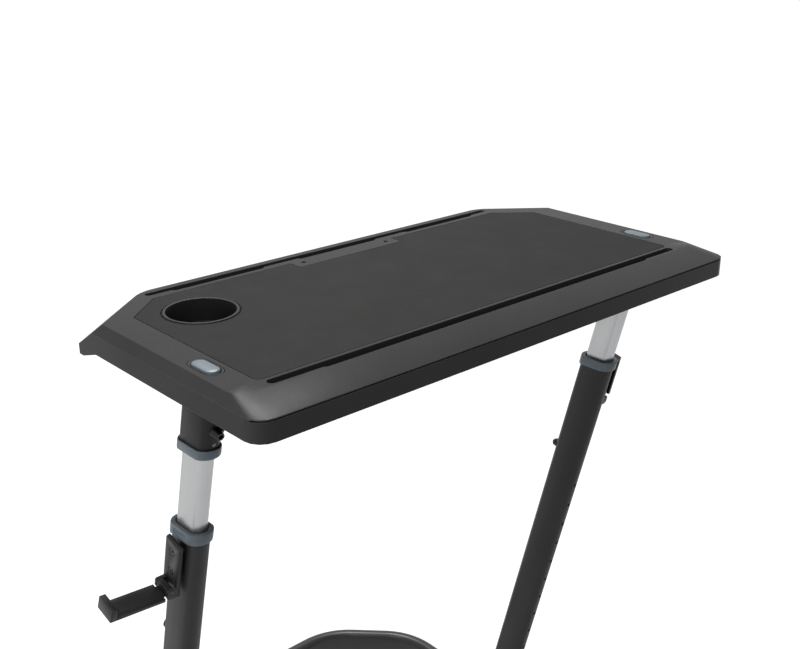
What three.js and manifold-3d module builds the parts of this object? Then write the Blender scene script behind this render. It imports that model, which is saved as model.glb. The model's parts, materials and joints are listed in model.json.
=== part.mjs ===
// Bike trainer desk: a moulded deck on two leaning telescopic legs and a U-shaped floor frame.
// Millimetres, +Z up. The rider sits on the -Y side, and the hooks hang on the outer faces of the legs.
// Distances along Y are measured from the crease between the deck's flat top and its near chamfer.
// "Level" is a height above or below the deck's flat top. "Station" is a distance down a leg's axis.
import * as THREE from 'three';
import { mergeVertices } from 'three/addons/utils/BufferGeometryUtils.js';
import Module from 'manifold-3d';

const wasm = await Module();
wasm.setup();

// Stance of the whole desk
const deskHeight = 920;
const legInset = 27.5;
const legSetback = 76.3;
const leanDegrees = 14;
const baseDepth = 650.6;
const railStart = 16;

// Deck shell
const deckWidth = 720;
const flatDepth = 308.6;
const nearChamferWidth = 42.2;
const sideChamferWidth = 10.4;
const chamferDrop = 8.56;
const cornerCutAcross = 80.8;
const cornerCutDepth = 64;
const lipDrop = 29;
const wallDepth = 31.2;
const lipDepth = 40.6;
const lipSlopeInset = 64.2;
const lipSlopeRun = 28.4;
const creaseCornerRadius = 18;
const wallCornerRadius = 20;
const deckWall = 3;
const coverThickness = 2.5;
const ribThickness = 2;

// Mat and its recess
const matSideMargin = 44.9;
const matNear = 19;
const matFarMargin = 29.5;
const matCutAcross = 46.5;
const matCutDepth = 39.3;
const matCornerRadius = 7.5;
const matNotchHalf = 81.7;
const matNotchDepth = 19.2;
const matThickness = 2;
const matSeam = 1;

// Device slots: each widens over some spans of its near edge, given as shares of its reach
const slotDepth = 16;
const slotWall = 2.5;
const slotRamp = 4;
const nearSlotInset = 48.7;
const nearSlotEdge = 14;
const nearSlotNarrow = 10.7;
const nearSlotWide = 13;
const nearSlotShares = [[-0.8, 0.8]];
const farSlotInset = 89.5;
const farSlotMargin = 9.3;
const farSlotNarrow = 9;
const farSlotWide = 12.5;
const farSlotShares = [[-0.878, -0.423], [-0.2255, 0.2255], [0.423, 0.878]];
const tieHoleRadius = 3.25;
const tieHoleOffset = 66;
const tieHoleMargin = 35;

// Bottle well
const wellInset = 108.4;
const wellSetback = 97.8;
const wellRadius = 37.7;
const wellRimRadius = 41.85;
const wellRimBevel = 1.6;
const wellRise = 1;
const wellWall = 2;
const wellDepth = 25.7;
const wellDraft = 0.8;

// Oval tube of the frame and of the outer leg stages
const tubeWidth = 49;
const tubeThickness = 24.5;
const tubeSagitta = 8.9;
const tubeWall = 1.8;

// Bright inner tube
const innerWidth = 40.4;
const innerThickness = 18.4;
const innerSagitta = 6.7;
const innerWall = 1.5;
const innerTopStation = 31;
const innerTail = 24.5;

// Levels of the leg's stages
const sleeveTopLevel = 18.6;
const sleeveBottomLevel = 87.7;
const upperCollarTop = 84.6;
const upperCollarHeight = 10.4;
const upperCollarFlare = 2.2;
const lowerCollarTop = 188.6;
const lowerCollarHeight = 13.4;
const lowerCollarFlare = 2.7;
const collarSeat = 3.4;
const mouthGap = 1.6;
const mouthDepth = 2.6;
const bushDepth = 2;
const padRecess = 0.6;
const padLength = 22;
const padHeight = 6.4;

// Index holes and the latch
const latchRise = 166;
const holeSpacing = 38.4;
const holeCount = 11;
const latchedHole = 8;
const holeRadius = 3;
const noseRadius = 2.8;
const noseGap = 0.9;
const latchTravel = 5;
const pegRadius = 1.5;
const latchBlockHeight = 12;
const latchBlockHalf = 4.2;
const latchBlockNear = 12.5;
const latchBlockFar = 8;
const bladeThickness = 2;
const bladeWidth = 7;
const bladeLength = 19;
const housingTop = 21;
const housingFoot = 8;
const housingFit = 0.2;

// Release button unit
const buttonLength = 36.8;
const buttonWidth = 15.6;
const buttonRise = 1.3;
const buttonBevel = 0.9;
const buttonDepth = 5.7;
const buttonTravel = 4;
const buttonSetback = 77;
const bezelLength = 47;
const bezelWidth = 21.5;
const bezelDish = 2.2;
const bezelDepth = 16;
const bezelFloor = 1.7;
const stemRadius = 2.5;
const stemDepth = 17;
const springRadius = 4.9;
const springWire = 0.9;
const springTurns = 3;

// Push rod and the plug that guides it
const rodRadius = 2.5;
const rodHeadRadius = 4.5;
const rodHeadHeight = 2;
const rodHoleRadius = 3;
const plugFlange = 3.7;
const plugSpigot = 14;

// Sleeve flange, gusset, clamp bolt and snap button
const flangeWidth = 46;
const flangeLength = 100;
const flangeThickness = 3;
const flangeCornerRadius = 9;
const flangeBoltAcross = 26;
const flangeBoltAlong = 76;
const gussetThickness = 2.5;
const gussetOffset = 9;
const gussetReach = 40.6;
const gussetFoot = 84;
const clampStation = 60;
const clampRootRadius = 6.5;
const clampTipRadius = 4.25;
const clampReach = 9;
const clampSocketRadius = 2.9;
const clampSocketDepth = 4;
const clampShankRadius = 2.8;
const clampShankReach = 14;
const snapStation = 76;
const snapRadius = 2.1;
const snapPlateLength = 12;
const snapPlateWidth = 8;
const snapPlateThickness = 1.2;

// Stop stud
const studStation = 364.6;
const studRadius = 4.5;
const studReach = 6;
const studBevel = 2;
const studShankRadius = 2.2;

// Fold-out hook
const hookWidth = 25.8;
const hookPlateThickness = 4.6;
const hookStandoff = 4.85;
const hookPlateTop = 209.6;
const hookPlateBottom = 277;
const hookPlateCorner = 3;
const hookPivotStation = 268.4;
const hookPivotOut = 4.6;
const hookEarReach = 5.7;
const hookEarRise = 3.8;
const hookKnuckleRadius = 4;
const hookKnuckleWidth = 16.8;
const hookPinRadius = 2;
const hookArmDrop = 3.27;
const hookArmThickness = 5.8;
const hookArmStart = 11.2;
const hookArmEnd = 63.6;
const hookTipEnd = 70.6;
const hookTipRise = 3.7;
const hookTongueLength = 6;
const hookTongueWidth = 12;
const hookPegRadius = 1.5;
const hookOpenDegrees = 5;
const hookFoldedDegrees = 90;
const hookScrewStations = [222.7, 249.5];
const hookScrewHeadRadius = 4.6;
const hookScrewHeadHeight = 1.8;
const hookScrewRecess = 2.2;
const hookScrewRadius = 2.5;
const hookSpacerRadius = 5.5;

// Floor frame
const footHeight = 8;
const cornerCut = 109.2;
const bendRadius = 111;
const padFootLength = 52;
const padFootWidth = 23;
const padFootCorner = 6;
const padFootCradle = 5;
const nearFootInset = 42;
const farFootInset = 73.3;
const capThickness = 3;
const capBevel = 1;
const capSpigot = 18;
const shoeLength = 84;
const shoeCheek = 3.2;
const shoeCheekDrop = 22;
const shoeTop = 6;
const shoeCorner = 6;
const spigotHeight = 42;
const shoeBoltDrop = 15.5;
const shoeBoltSpacing = 52;

// Fasteners
const boltRadius = 2.6;
const boltHeadRadius = 5;
const boltHeadHeight = 4;
const boltBossRadius = 6;
const boltReach = 15;
const screwRadius = 1.7;
const screwHeadRadius = 4;
const screwHeadHeight = 2.2;
const screwBossRadius = 4.5;
const screwReach = 8;
const nutHeight = 4;

// Fits
const clearance = 0.3;
const looseFit = 0.5;
const overrun = 60;

// Smoothness
const arcSteps = 4;
const planSteps = 1;
const softSteps = 2;
const cornerSteps = 4;
const roundSides = 12;
const wellSides = 24;
const smallSides = 8;
const fastenerSides = 6;
const springSides = 3;
const bendSteps = 3;

// Cover fixings, as shares of the deck's half width and of its depth
const screwShares = [[0.25, -0.07], [0.75, -0.07], [0.25, 1.055], [0.6, 1.055]];
const ribAcrossShares = [-0.42, 0, 0.42];
const ribAlongShares = [0.4];

// Values that follow from the sizes above
const lean = THREE.MathUtils.degToRad(leanDegrees);
const cosLean = Math.cos(lean);
const tanLean = Math.tan(lean);
const legX = deckWidth / 2 - legInset;
const halfTube = tubeThickness / 2;
const railTop = footHeight + tubeWidth;
const shoeLevel = deskHeight - railTop - shoeTop;
const latchStation = shoeLevel / cosLean - latchRise;
const firstHoleStation = latchStation - latchedHole * holeSpacing;
const innerBottomStation = latchStation + innerTail;
const matHalfLength = deckWidth / 2 - matSideMargin;
const matFar = flatDepth - matFarMargin;
const wellX = wellInset - deckWidth / 2;
const wellY = flatDepth - wellSetback;
const lipSlopeStart = flatDepth - lipSlopeInset;
const coverTop = wallDepth - coverThickness;
const frameFar = baseDepth - railStart;
const sides = { left: -1, right: 1 };

// Turn a closed geometry into a solid, and a solid back into a geometry
function solidOf(geometry) {
  const bare = geometry.clone();
  bare.deleteAttribute('normal');
  bare.deleteAttribute('uv');
  const merged = mergeVertices(bare);
  const corners = [];
  for (let face = 0; face < merged.index.count; face += 3) {
    const [a, b, c] = [0, 1, 2].map((corner) => merged.index.getX(face + corner));
    if (a !== b && b !== c && c !== a) corners.push(a, b, c);
  }
  return new wasm.Manifold(new wasm.Mesh({
    numProp: 3,
    vertProperties: new Float32Array(merged.attributes.position.array),
    triVerts: new Uint32Array(corners),
  }));
}

function geometryOf(solid) {
  const mesh = solid.getMesh();
  const geometry = new THREE.BufferGeometry();
  geometry.setAttribute('position', new THREE.BufferAttribute(new Float32Array(mesh.vertProperties), 3));
  geometry.setIndex(new THREE.BufferAttribute(new Uint32Array(mesh.triVerts), 1));
  geometry.computeVertexNormals();
  return geometry;
}

function joined(solids) {
  return solids.reduce((whole, next) => whole.add(next));
}

// Straight prism of a plan outline between two heights
function prism(shape, low, high, steps = arcSteps) {
  const geometry = new THREE.ExtrudeGeometry(shape, {
    depth: high - low,
    bevelEnabled: false,
    curveSegments: steps,
  });
  return geometry.translate(0, 0, low);
}

// Box between two corners
function block(low, high) {
  const size = high.map((value, axis) => value - low[axis]);
  const middle = high.map((value, axis) => (value + low[axis]) / 2);
  return new THREE.BoxGeometry(...size).translate(...middle);
}

// Round bar along Z between two heights
function bar(radius, low, high, barSides = roundSides) {
  const geometry = new THREE.CylinderGeometry(radius, radius, high - low, barSides);
  return geometry.rotateX(Math.PI / 2).translate(0, 0, (high + low) / 2);
}

// Turned form about Z from a profile of radius and height pairs, listed from low to high
function turned(profile, turnedSides = roundSides) {
  const points = profile.map(([radius, height]) => new THREE.Vector2(radius, height));
  return new THREE.LatheGeometry(points, turnedSides).rotateX(Math.PI / 2);
}

// Skin over a row of convex rings, with flat ends
function loft(rings) {
  const count = rings[0].length;
  const positions = rings.flat().flatMap((point) => [point.x, point.y, point.z]);
  const faces = [];
  for (let ring = 0; ring < rings.length - 1; ring += 1) {
    for (let corner = 0; corner < count; corner += 1) {
      const next = (corner + 1) % count;
      const low = ring * count;
      const high = low + count;
      faces.push(low + corner, low + next, high + next);
      faces.push(low + corner, high + next, high + corner);
    }
  }
  const last = (rings.length - 1) * count;
  for (let corner = 1; corner < count - 1; corner += 1) {
    faces.push(0, corner + 1, corner);
    faces.push(last, last + corner, last + corner + 1);
  }
  const geometry = new THREE.BufferGeometry();
  geometry.setAttribute('position', new THREE.Float32BufferAttribute(positions, 3));
  geometry.setIndex(faces);
  return geometry;
}

// Rectangle with rounded corners about the origin
function roundedRectangle(width, length, radius) {
  const x = width / 2 - radius;
  const y = length / 2 - radius;
  const shape = new THREE.Shape();
  shape.absarc(x, y, radius, 0, Math.PI / 2);
  shape.absarc(-x, y, radius, Math.PI / 2, Math.PI);
  shape.absarc(-x, -y, radius, Math.PI, Math.PI * 1.5);
  shape.absarc(x, -y, radius, Math.PI * 1.5, Math.PI * 2);
  return shape;
}

// Oblong with half-round ends, long along Y
function oblong(width, length) {
  const radius = width / 2;
  const reach = length / 2 - radius;
  const shape = new THREE.Shape();
  shape.absarc(0, reach, radius, 0, Math.PI);
  shape.absarc(0, -reach, radius, Math.PI, Math.PI * 2);
  return shape;
}

// Flat-oval tube section, long along Y, grown outwards by a margin
function oval(width, thickness, sagitta, grow = 0) {
  const half = thickness / 2;
  const radius = (half * half + sagitta * sagitta) / (2 * sagitta);
  const centre = width / 2 - radius;
  const reach = Math.asin((half + grow) / (radius + grow));
  const shape = new THREE.Shape();
  shape.absarc(0, centre, radius + grow, Math.PI / 2 - reach, Math.PI / 2 + reach);
  shape.absarc(0, -centre, radius + grow, -Math.PI / 2 - reach, -Math.PI / 2 + reach);
  return shape;
}

function outerOval(grow = 0) {
  return oval(tubeWidth, tubeThickness, tubeSagitta, grow);
}

function innerOval(grow = 0) {
  return oval(innerWidth, innerThickness, innerSagitta, grow);
}

// Leg frame: its Z runs up the leg's axis and its Y away from the rider.
// A form cut level at both ends is sheared so that those ends stay horizontal.
const levelEnds = new THREE.Matrix4().set(
  1, 0, 0, 0,
  0, 1, 0, 0,
  0, -tanLean, 1, 0,
  0, 0, 0, 1,
);

function legForm(shape, low, high) {
  return prism(shape, low / cosLean, high / cosLean).applyMatrix4(levelEnds);
}

// Place a form of the leg frame in the deck's frame
function onDeck(geometry, side) {
  return geometry.rotateX(lean).translate(side * legX, legSetback, 0);
}

// Bar along the leg frame's Y at a station
function crossBar(radius, station, from, to, barSides = smallSides) {
  return bar(radius, -to, -from, barSides).rotateX(Math.PI / 2).translate(0, 0, -station);
}

// Finishes
const finishes = {
  deck: [0x505152, 0.72, 0],
  mat: [0x3d3e40, 0.85, 0],
  darkPlastic: [0x2b2c2e, 0.6, 0],
  button: [0x9cabb8, 0.45, 0],
  collar: [0x66747e, 0.5, 0],
  bright: [0xbcbdbf, 0.3, 0.9],
  paint: [0x343536, 0.5, 0.2],
  steel: [0x77797c, 0.4, 0.9],
  rubber: [0x232425, 0.9, 0],
};

function addPiece(parent, name, form, finish) {
  const [color, roughness, metalness] = finishes[finish];
  const geometry = form.isBufferGeometry ? form : geometryOf(form);
  const material = new THREE.MeshStandardMaterial({ color, roughness, metalness });
  const mesh = new THREE.Mesh(geometry, material);
  mesh.name = name;
  parent.add(mesh);
  return mesh;
}

// Deck body: near and side chamfers with round corners, under a roof that droops at the far side.
// An inset moves every face inwards and gives the hollow inside the shell.
const deckFar = flatDepth + lipDrop * (sideChamferWidth / chamferDrop);

function chamferRing(half, near, radius, level) {
  const ring = [];
  for (const [sign, start] of [[-1, Math.PI], [1, Math.PI * 1.5]]) {
    for (let step = 0; step <= cornerSteps; step += 1) {
      const angle = start + (Math.PI / 2) * (step / cornerSteps);
      const x = sign * (half - radius) + radius * Math.cos(angle);
      const y = near + radius + radius * Math.sin(angle);
      ring.push(new THREE.Vector3(x, y, level));
    }
  }
  ring.push(new THREE.Vector3(half, deckFar + overrun, level));
  ring.push(new THREE.Vector3(-half, deckFar + overrun, level));
  return ring;
}

function roofRing(offset, level) {
  const cutLength = Math.hypot(cornerCutAcross, cornerCutDepth);
  const normalX = cornerCutDepth / cutLength;
  const normalY = cornerCutAcross / cutLength;
  const cornerX = deckWidth / 2 - sideChamferWidth - cornerCutAcross;
  const farX = cornerX + offset * (1 - normalY) / normalX;
  const reach = deckWidth / 2 + overrun;
  const reachY = flatDepth + (offset - normalX * (reach - cornerX)) / normalY;
  const outline = [
    [-reach, -nearChamferWidth - overrun],
    [reach, -nearChamferWidth - overrun],
    [reach, reachY],
    [farX, flatDepth + offset],
    [-farX, flatDepth + offset],
    [-reach, reachY],
  ];
  return outline.map(([x, y]) => new THREE.Vector3(x, y, level));
}

function deckForm(inset, bottom) {
  const half = deckWidth / 2 - inset;
  const near = inset - nearChamferWidth;
  const body = loft([
    chamferRing(half, near, wallCornerRadius - inset, bottom),
    chamferRing(half, near, wallCornerRadius - inset, -inset - chamferDrop),
    chamferRing(half - sideChamferWidth, inset, creaseCornerRadius - inset, -inset),
  ]);
  const droop = deckFar - flatDepth;
  const roof = loft([
    roofRing(droop - inset, bottom),
    roofRing(droop - inset, -inset - lipDrop),
    roofRing(-inset, -inset),
  ]);
  return solidOf(body).intersect(solidOf(roof));
}

// Everything below the rim, which steps down from the side walls to the far lip
function belowRim() {
  const far = deckFar + overrun;
  const near = -nearChamferWidth - overrun;
  const profile = [
    [near, -wallDepth],
    [near, -lipDepth - overrun],
    [far, -lipDepth - overrun],
    [far, -lipDepth],
    [lipSlopeStart + lipSlopeRun, -lipDepth],
    [lipSlopeStart, -wallDepth],
  ];
  const shape = new THREE.Shape(profile.map(([y, z]) => new THREE.Vector2(y, z)));
  const half = deckWidth / 2 + overrun;
  const geometry = prism(shape, -half, half);
  geometry.rotateY(Math.PI / 2).rotateX(Math.PI / 2);
  return solidOf(geometry);
}

// Mat outline, grown by a margin: cut far corners and a notch in the far edge
function matOutline(grow) {
  const cutLength = Math.hypot(matCutAcross, matCutDepth);
  const normalX = matCutDepth / cutLength;
  const normalY = matCutAcross / cutLength;
  const half = matHalfLength + grow;
  const near = matNear - grow;
  const far = matFar + grow;
  const radius = matCornerRadius + grow;
  const sideCut = matFar - matCutDepth + grow * (1 - normalX) / normalY;
  const farCut = matHalfLength - matCutAcross + grow * (1 - normalY) / normalX;
  const notch = matNotchHalf - grow;
  const notchFloor = matFar - matNotchDepth + grow;
  const shape = new THREE.Shape();
  shape.absarc(radius - half, near + radius, radius, Math.PI, Math.PI * 1.5);
  shape.absarc(half - radius, near + radius, radius, Math.PI * 1.5, Math.PI * 2);
  shape.lineTo(half, sideCut);
  shape.lineTo(farCut, far);
  shape.lineTo(notch, far);
  shape.lineTo(notch, notchFloor);
  shape.lineTo(-notch, notchFloor);
  shape.lineTo(-notch, far);
  shape.lineTo(-farCut, far);
  shape.lineTo(-half, sideCut);
  return shape;
}

const nearSlot = {
  reach: deckWidth / 2 - nearSlotInset,
  farEdge: nearSlotEdge,
  narrow: nearSlotNarrow,
  wide: nearSlotWide,
  shares: nearSlotShares,
};
const farSlot = {
  reach: deckWidth / 2 - farSlotInset,
  farEdge: flatDepth - farSlotMargin,
  narrow: farSlotNarrow,
  wide: farSlotWide,
  shares: farSlotShares,
};

// Slot outline, grown by a margin, with half-round ends and a stepped near edge
function slotOutline(slot, grow) {
  const radius = slot.narrow / 2 + grow;
  const reach = slot.reach + grow - radius;
  const farEdge = slot.farEdge + grow;
  const narrowEdge = slot.farEdge - slot.narrow - grow;
  const wideEdge = slot.farEdge - slot.wide - grow;
  const ramp = slotRamp / 2;
  const shape = new THREE.Shape();
  shape.moveTo(-reach, narrowEdge);
  for (const [from, to] of slot.shares.map((pair) => pair.map((share) => share * slot.reach))) {
    shape.lineTo(from - grow - ramp, narrowEdge);
    shape.lineTo(from - grow + ramp, wideEdge);
    shape.lineTo(to + grow - ramp, wideEdge);
    shape.lineTo(to + grow + ramp, narrowEdge);
  }
  shape.absarc(reach, farEdge - radius, radius, -Math.PI / 2, Math.PI / 2);
  shape.absarc(-reach, farEdge - radius, radius, Math.PI / 2, Math.PI * 1.5);
  return shape;
}

// Fixing places, worked out once for the bosses, the holes and the fasteners
const screwPlaces = Object.values(sides).flatMap((side) => screwShares.map(([across, along]) => (
  [side * across * (deckWidth / 2), along * flatDepth]
)));
const flangeLevel = wallDepth + clearance;
const flangeY = legSetback + flangeLevel * tanLean;
const boltPlaces = [];
for (const side of Object.values(sides)) {
  for (const across of [-1, 1]) {
    for (const along of [-1, 1]) {
      const x = side * legX + across * (flangeBoltAcross / 2);
      boltPlaces.push([x, flangeY + along * (flangeBoltAlong / 2)]);
    }
  }
}

// Moulded top: a shell with slot channels, leg sockets, ribs and bosses inside
function makeDeckTop() {
  const outer = deckForm(0, -lipDepth);
  const hollow = deckForm(deckWall, -lipDepth - overrun);
  const inside = [];
  const ribBottom = -coverTop + clearance;
  for (const slot of [nearSlot, farSlot]) {
    inside.push(solidOf(prism(slotOutline(slot, slotWall), -slotDepth - slotWall, 0, softSteps)));
  }
  for (const share of ribAcrossShares) {
    const x = share * deckWidth / 2;
    const half = ribThickness / 2;
    const near = -nearChamferWidth;
    inside.push(solidOf(block([x - half, near, ribBottom], [x + half, deckFar, 0])));
  }
  for (const share of ribAlongShares) {
    const y = share * flatDepth;
    const half = ribThickness / 2;
    const reach = deckWidth / 2;
    inside.push(solidOf(block([-reach, y - half, ribBottom], [reach, y + half, 0])));
  }
  for (const [x, y] of screwPlaces) {
    inside.push(solidOf(bar(screwBossRadius, ribBottom, 0, fastenerSides).translate(x, y, 0)));
  }
  for (const [x, y] of boltPlaces) {
    inside.push(solidOf(bar(boltBossRadius, ribBottom, 0, fastenerSides).translate(x, y, 0)));
  }
  for (const side of Object.values(sides)) {
    inside.push(solidOf(onDeck(legForm(outerOval(clearance + deckWall), ribBottom, 0), side)));
  }
  const shell = outer.subtract(hollow).add(joined(inside).intersect(outer));

  const cuts = [belowRim()];
  for (const slot of [nearSlot, farSlot]) {
    cuts.push(solidOf(prism(slotOutline(slot, 0), -slotDepth, overrun)));
  }
  cuts.push(solidOf(prism(matOutline(matSeam), -matThickness - clearance, overrun, softSteps)));
  const wellHole = wellRadius + wellWall + looseFit;
  cuts.push(solidOf(bar(wellHole, -overrun, overrun, wellSides).translate(wellX, wellY, 0)));
  for (const sign of [-1, 1]) {
    const hole = bar(tieHoleRadius, -slotDepth, overrun, smallSides);
    cuts.push(solidOf(hole.translate(sign * tieHoleOffset, flatDepth - tieHoleMargin, 0)));
  }
  for (const [x, y] of screwPlaces) {
    const pilot = bar(screwRadius + clearance, -overrun, -coverTop + screwReach + clearance, fastenerSides);
    cuts.push(solidOf(pilot.translate(x, y, 0)));
  }
  for (const [x, y] of boltPlaces) {
    const pilot = bar(boltRadius + clearance, -overrun, boltReach + clearance - wallDepth, fastenerSides);
    cuts.push(solidOf(pilot.translate(x, y, 0)));
  }
  for (const side of Object.values(sides)) {
    const pocketPlan = oblong(bezelWidth + 2 * clearance, bezelLength + 2 * clearance);
    const pocket = prism(pocketPlan, -bezelDepth - clearance, overrun);
    cuts.push(solidOf(pocket.translate(side * legX, buttonSetback, 0)));
    cuts.push(solidOf(onDeck(legForm(outerOval(clearance), -overrun, clearance - sleeveTopLevel), side)));
    const headHole = rodHeadRadius + rodHeadHeight;
    cuts.push(solidOf(onDeck(bar(headHole, -overrun, -stemRadius), side)));
  }
  return shell.subtract(joined(cuts));
}

// Soft inset panel with a round hole for the bottle well
function makeMat() {
  const panel = solidOf(prism(matOutline(0), -matThickness, 0, softSteps));
  const hole = bar(wellRimRadius + matSeam, -overrun, overrun, wellSides);
  return panel.subtract(solidOf(hole.translate(wellX, wellY, 0)));
}

// Bottle well: a raised bevelled rim on the recess floor, and a tapered cup below it
function makeWell() {
  const seat = -matThickness;
  const outer = wellRadius + wellWall;
  const profile = [
    [0, -wellDepth - wellWall],
    [outer - wellDraft, -wellDepth - wellWall],
    [outer, seat],
    [wellRimRadius, seat],
    [wellRimRadius, wellRise - wellRimBevel],
    [wellRimRadius - wellRimBevel, wellRise],
    [wellRadius, wellRise],
    [wellRadius - wellDraft, -wellDepth],
    [0, -wellDepth],
  ];
  return turned(profile, wellSides).translate(wellX, wellY, 0);
}

// Flat cover that closes the deck from below, with its captive screws
function makeCover() {
  const inset = deckWall + looseFit;
  const plate = deckForm(inset, -lipDepth - overrun);
  const band = solidOf(block(
    [-deckWidth, -deckWidth, -wallDepth],
    [deckWidth, deckWidth, -coverTop],
  ));
  const holes = [];
  for (const [x, y] of boltPlaces) {
    holes.push(solidOf(bar(boltRadius + clearance, -overrun, 0, fastenerSides).translate(x, y, 0)));
  }
  for (const side of Object.values(sides)) {
    holes.push(solidOf(onDeck(legForm(outerOval(looseFit), -overrun, 0), side)));
  }
  const screws = screwPlaces.map(([x, y]) => solidOf(
    screwForm(-wallDepth, screwHeadRadius, screwHeadHeight, screwRadius, wallDepth - coverTop + screwReach)
      .translate(x, y, 0),
  ));
  return plate.intersect(band).subtract(joined(holes)).add(joined(screws));
}

// Hexagon-head screw along Z: the head hangs below its seat and the shank rises from it
function screwForm(seat, headRadius, headHeight, shankRadius, reach) {
  return turned([
    [0, seat - headHeight],
    [headRadius, seat - headHeight],
    [headRadius, seat],
    [shankRadius, seat],
    [shankRadius, seat + reach],
    [0, seat + reach],
  ], fastenerSides);
}

const desk = new THREE.Group();
desk.position.z = deskHeight;
addPiece(desk, 'deck_top', makeDeckTop(), 'deck');
addPiece(desk, 'deck_mat', makeMat(), 'mat');
addPiece(desk, 'cup_well', makeWell(), 'darkPlastic');
addPiece(desk, 'underside_cover', makeCover(), 'darkPlastic');

// Release button units: bezel, button and spring, which stand upright over each leg's top
const stemY = legSetback + stemDepth * tanLean;
const bezelFloorLevel = -bezelDepth + bezelFloor;

function makeBezel() {
  const body = solidOf(prism(oblong(bezelWidth, bezelLength), -bezelDepth, 0));
  const well = prism(
    oblong(buttonWidth + 2 * looseFit, buttonLength + 2 * looseFit),
    bezelFloorLevel,
    overrun,
  );
  const dishTop = oblong(bezelWidth - bezelDish, bezelLength - bezelDish).getPoints(arcSteps);
  const dishLow = oblong(buttonWidth + looseFit, buttonLength + looseFit).getPoints(arcSteps);
  const dish = loft([
    dishLow.map((point) => new THREE.Vector3(point.x, point.y, -bezelDish)),
    dishTop.map((point) => new THREE.Vector3(point.x, point.y, clearance)),
  ]);
  const stemHole = bar(stemRadius + looseFit, -overrun, 0, smallSides);
  stemHole.translate(0, stemY - buttonSetback, 0);
  return body.subtract(joined([solidOf(well), solidOf(dish), solidOf(stemHole)]));
}

function makeButton() {
  const plan = oblong(buttonWidth - 2 * buttonBevel, buttonLength - 2 * buttonBevel);
  const cap = new THREE.ExtrudeGeometry(plan, {
    depth: buttonRise + buttonDepth - 2 * buttonBevel,
    bevelThickness: buttonBevel,
    bevelSize: buttonBevel,
    bevelSegments: 2,
    curveSegments: arcSteps,
  });
  cap.translate(0, 0, buttonBevel - buttonDepth);
  const stem = turned([
    [0, -stemDepth],
    [stemRadius * Math.SQRT1_2, -stemDepth + stemRadius * (1 - Math.SQRT1_2)],
    [stemRadius, -stemDepth + stemRadius],
    [stemRadius, 0],
    [0, 0],
  ], smallSides);
  stem.translate(0, stemY - buttonSetback, 0);
  return solidOf(cap).add(solidOf(stem));
}

class Helix extends THREE.Curve {
  constructor(radius, turns, low, high) {
    super();
    this.radius = radius;
    this.turns = turns;
    this.low = low;
    this.high = high;
  }

  getPoint(share) {
    const angle = share * this.turns * Math.PI * 2;
    const height = this.low + share * (this.high - this.low);
    return new THREE.Vector3(this.radius * Math.cos(angle), this.radius * Math.sin(angle), height);
  }
}

function makeSpring() {
  const wire = new THREE.Shape();
  wire.absarc(0, 0, springWire / 2, 0, Math.PI * 2);
  const margin = springWire / 2 + clearance;
  const path = new Helix(springRadius, springTurns, bezelFloorLevel + margin, -buttonDepth - margin);
  return new THREE.ExtrudeGeometry(wire, {
    steps: springTurns * fastenerSides,
    curveSegments: springSides,
    extrudePath: path,
  });
}

for (const [hand, side] of Object.entries(sides)) {
  const unit = new THREE.Group();
  unit.position.set(side * legX, buttonSetback, 0);
  desk.add(unit);
  addPiece(unit, `button_bezel_${hand}`, makeBezel(), 'darkPlastic');
  addPiece(unit, `release_button_${hand}`, makeButton(), 'button');
  const spring = addPiece(unit, `button_spring_${hand}`, makeSpring(), 'steel');
  spring.position.y = stemY - buttonSetback;
}

// Sleeve under the deck, with its flange, captive flange bolts and one gusset on the rider's side
const flangeSeat = -flangeLevel - flangeThickness;

function makeSleeve(side) {
  const tube = solidOf(legForm(outerOval(), -sleeveBottomLevel, -sleeveTopLevel));
  const plan = roundedRectangle(flangeWidth, flangeLength, flangeCornerRadius);
  const plate = prism(plan, flangeSeat, -flangeLevel, planSteps);
  plate.translate(0, flangeY - legSetback, 0).rotateX(-lean);
  const gussetTop = (flangeLevel - gussetReach * Math.sin(lean)) / cosLean;
  const gussetShape = new THREE.Shape([
    new THREE.Vector2(0, -gussetTop),
    new THREE.Vector2(-gussetReach, -gussetTop),
    new THREE.Vector2(tubeSagitta - tubeWidth / 2, -gussetFoot),
  ]);
  const gusset = prism(gussetShape, -gussetThickness / 2, gussetThickness / 2);
  gusset.rotateY(Math.PI / 2).rotateX(Math.PI / 2).translate(-side * gussetOffset, 0, 0);
  const bore = solidOf(prism(outerOval(-tubeWall), -overrun - sleeveBottomLevel / cosLean, overrun));
  const above = block([-overrun, -overrun, -flangeLevel], [overrun, overrun, overrun]);
  const belowDeck = solidOf(gusset).subtract(solidOf(above.rotateX(-lean)));
  const holes = [
    solidOf(crossBar(clampShankRadius + clearance, clampStation, -tubeWidth, -innerWidth / 2)),
    solidOf(crossBar(snapRadius + clearance, snapStation, -tubeWidth, -innerWidth / 2)),
  ];
  const bolts = [];
  for (const across of [-1, 1]) {
    for (const along of [-1, 1]) {
      const seat = flangeSeat + clearance;
      const bolt = screwForm(seat, boltHeadRadius, boltHeadHeight, boltRadius, flangeThickness + boltReach);
      const y = flangeY - legSetback + along * (flangeBoltAlong / 2);
      bolts.push(solidOf(bolt.translate(across * (flangeBoltAcross / 2), y, 0).rotateX(-lean)));
    }
  }
  return joined([tube, solidOf(plate), belowDeck, ...bolts]).subtract(bore).subtract(joined(holes));
}

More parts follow.
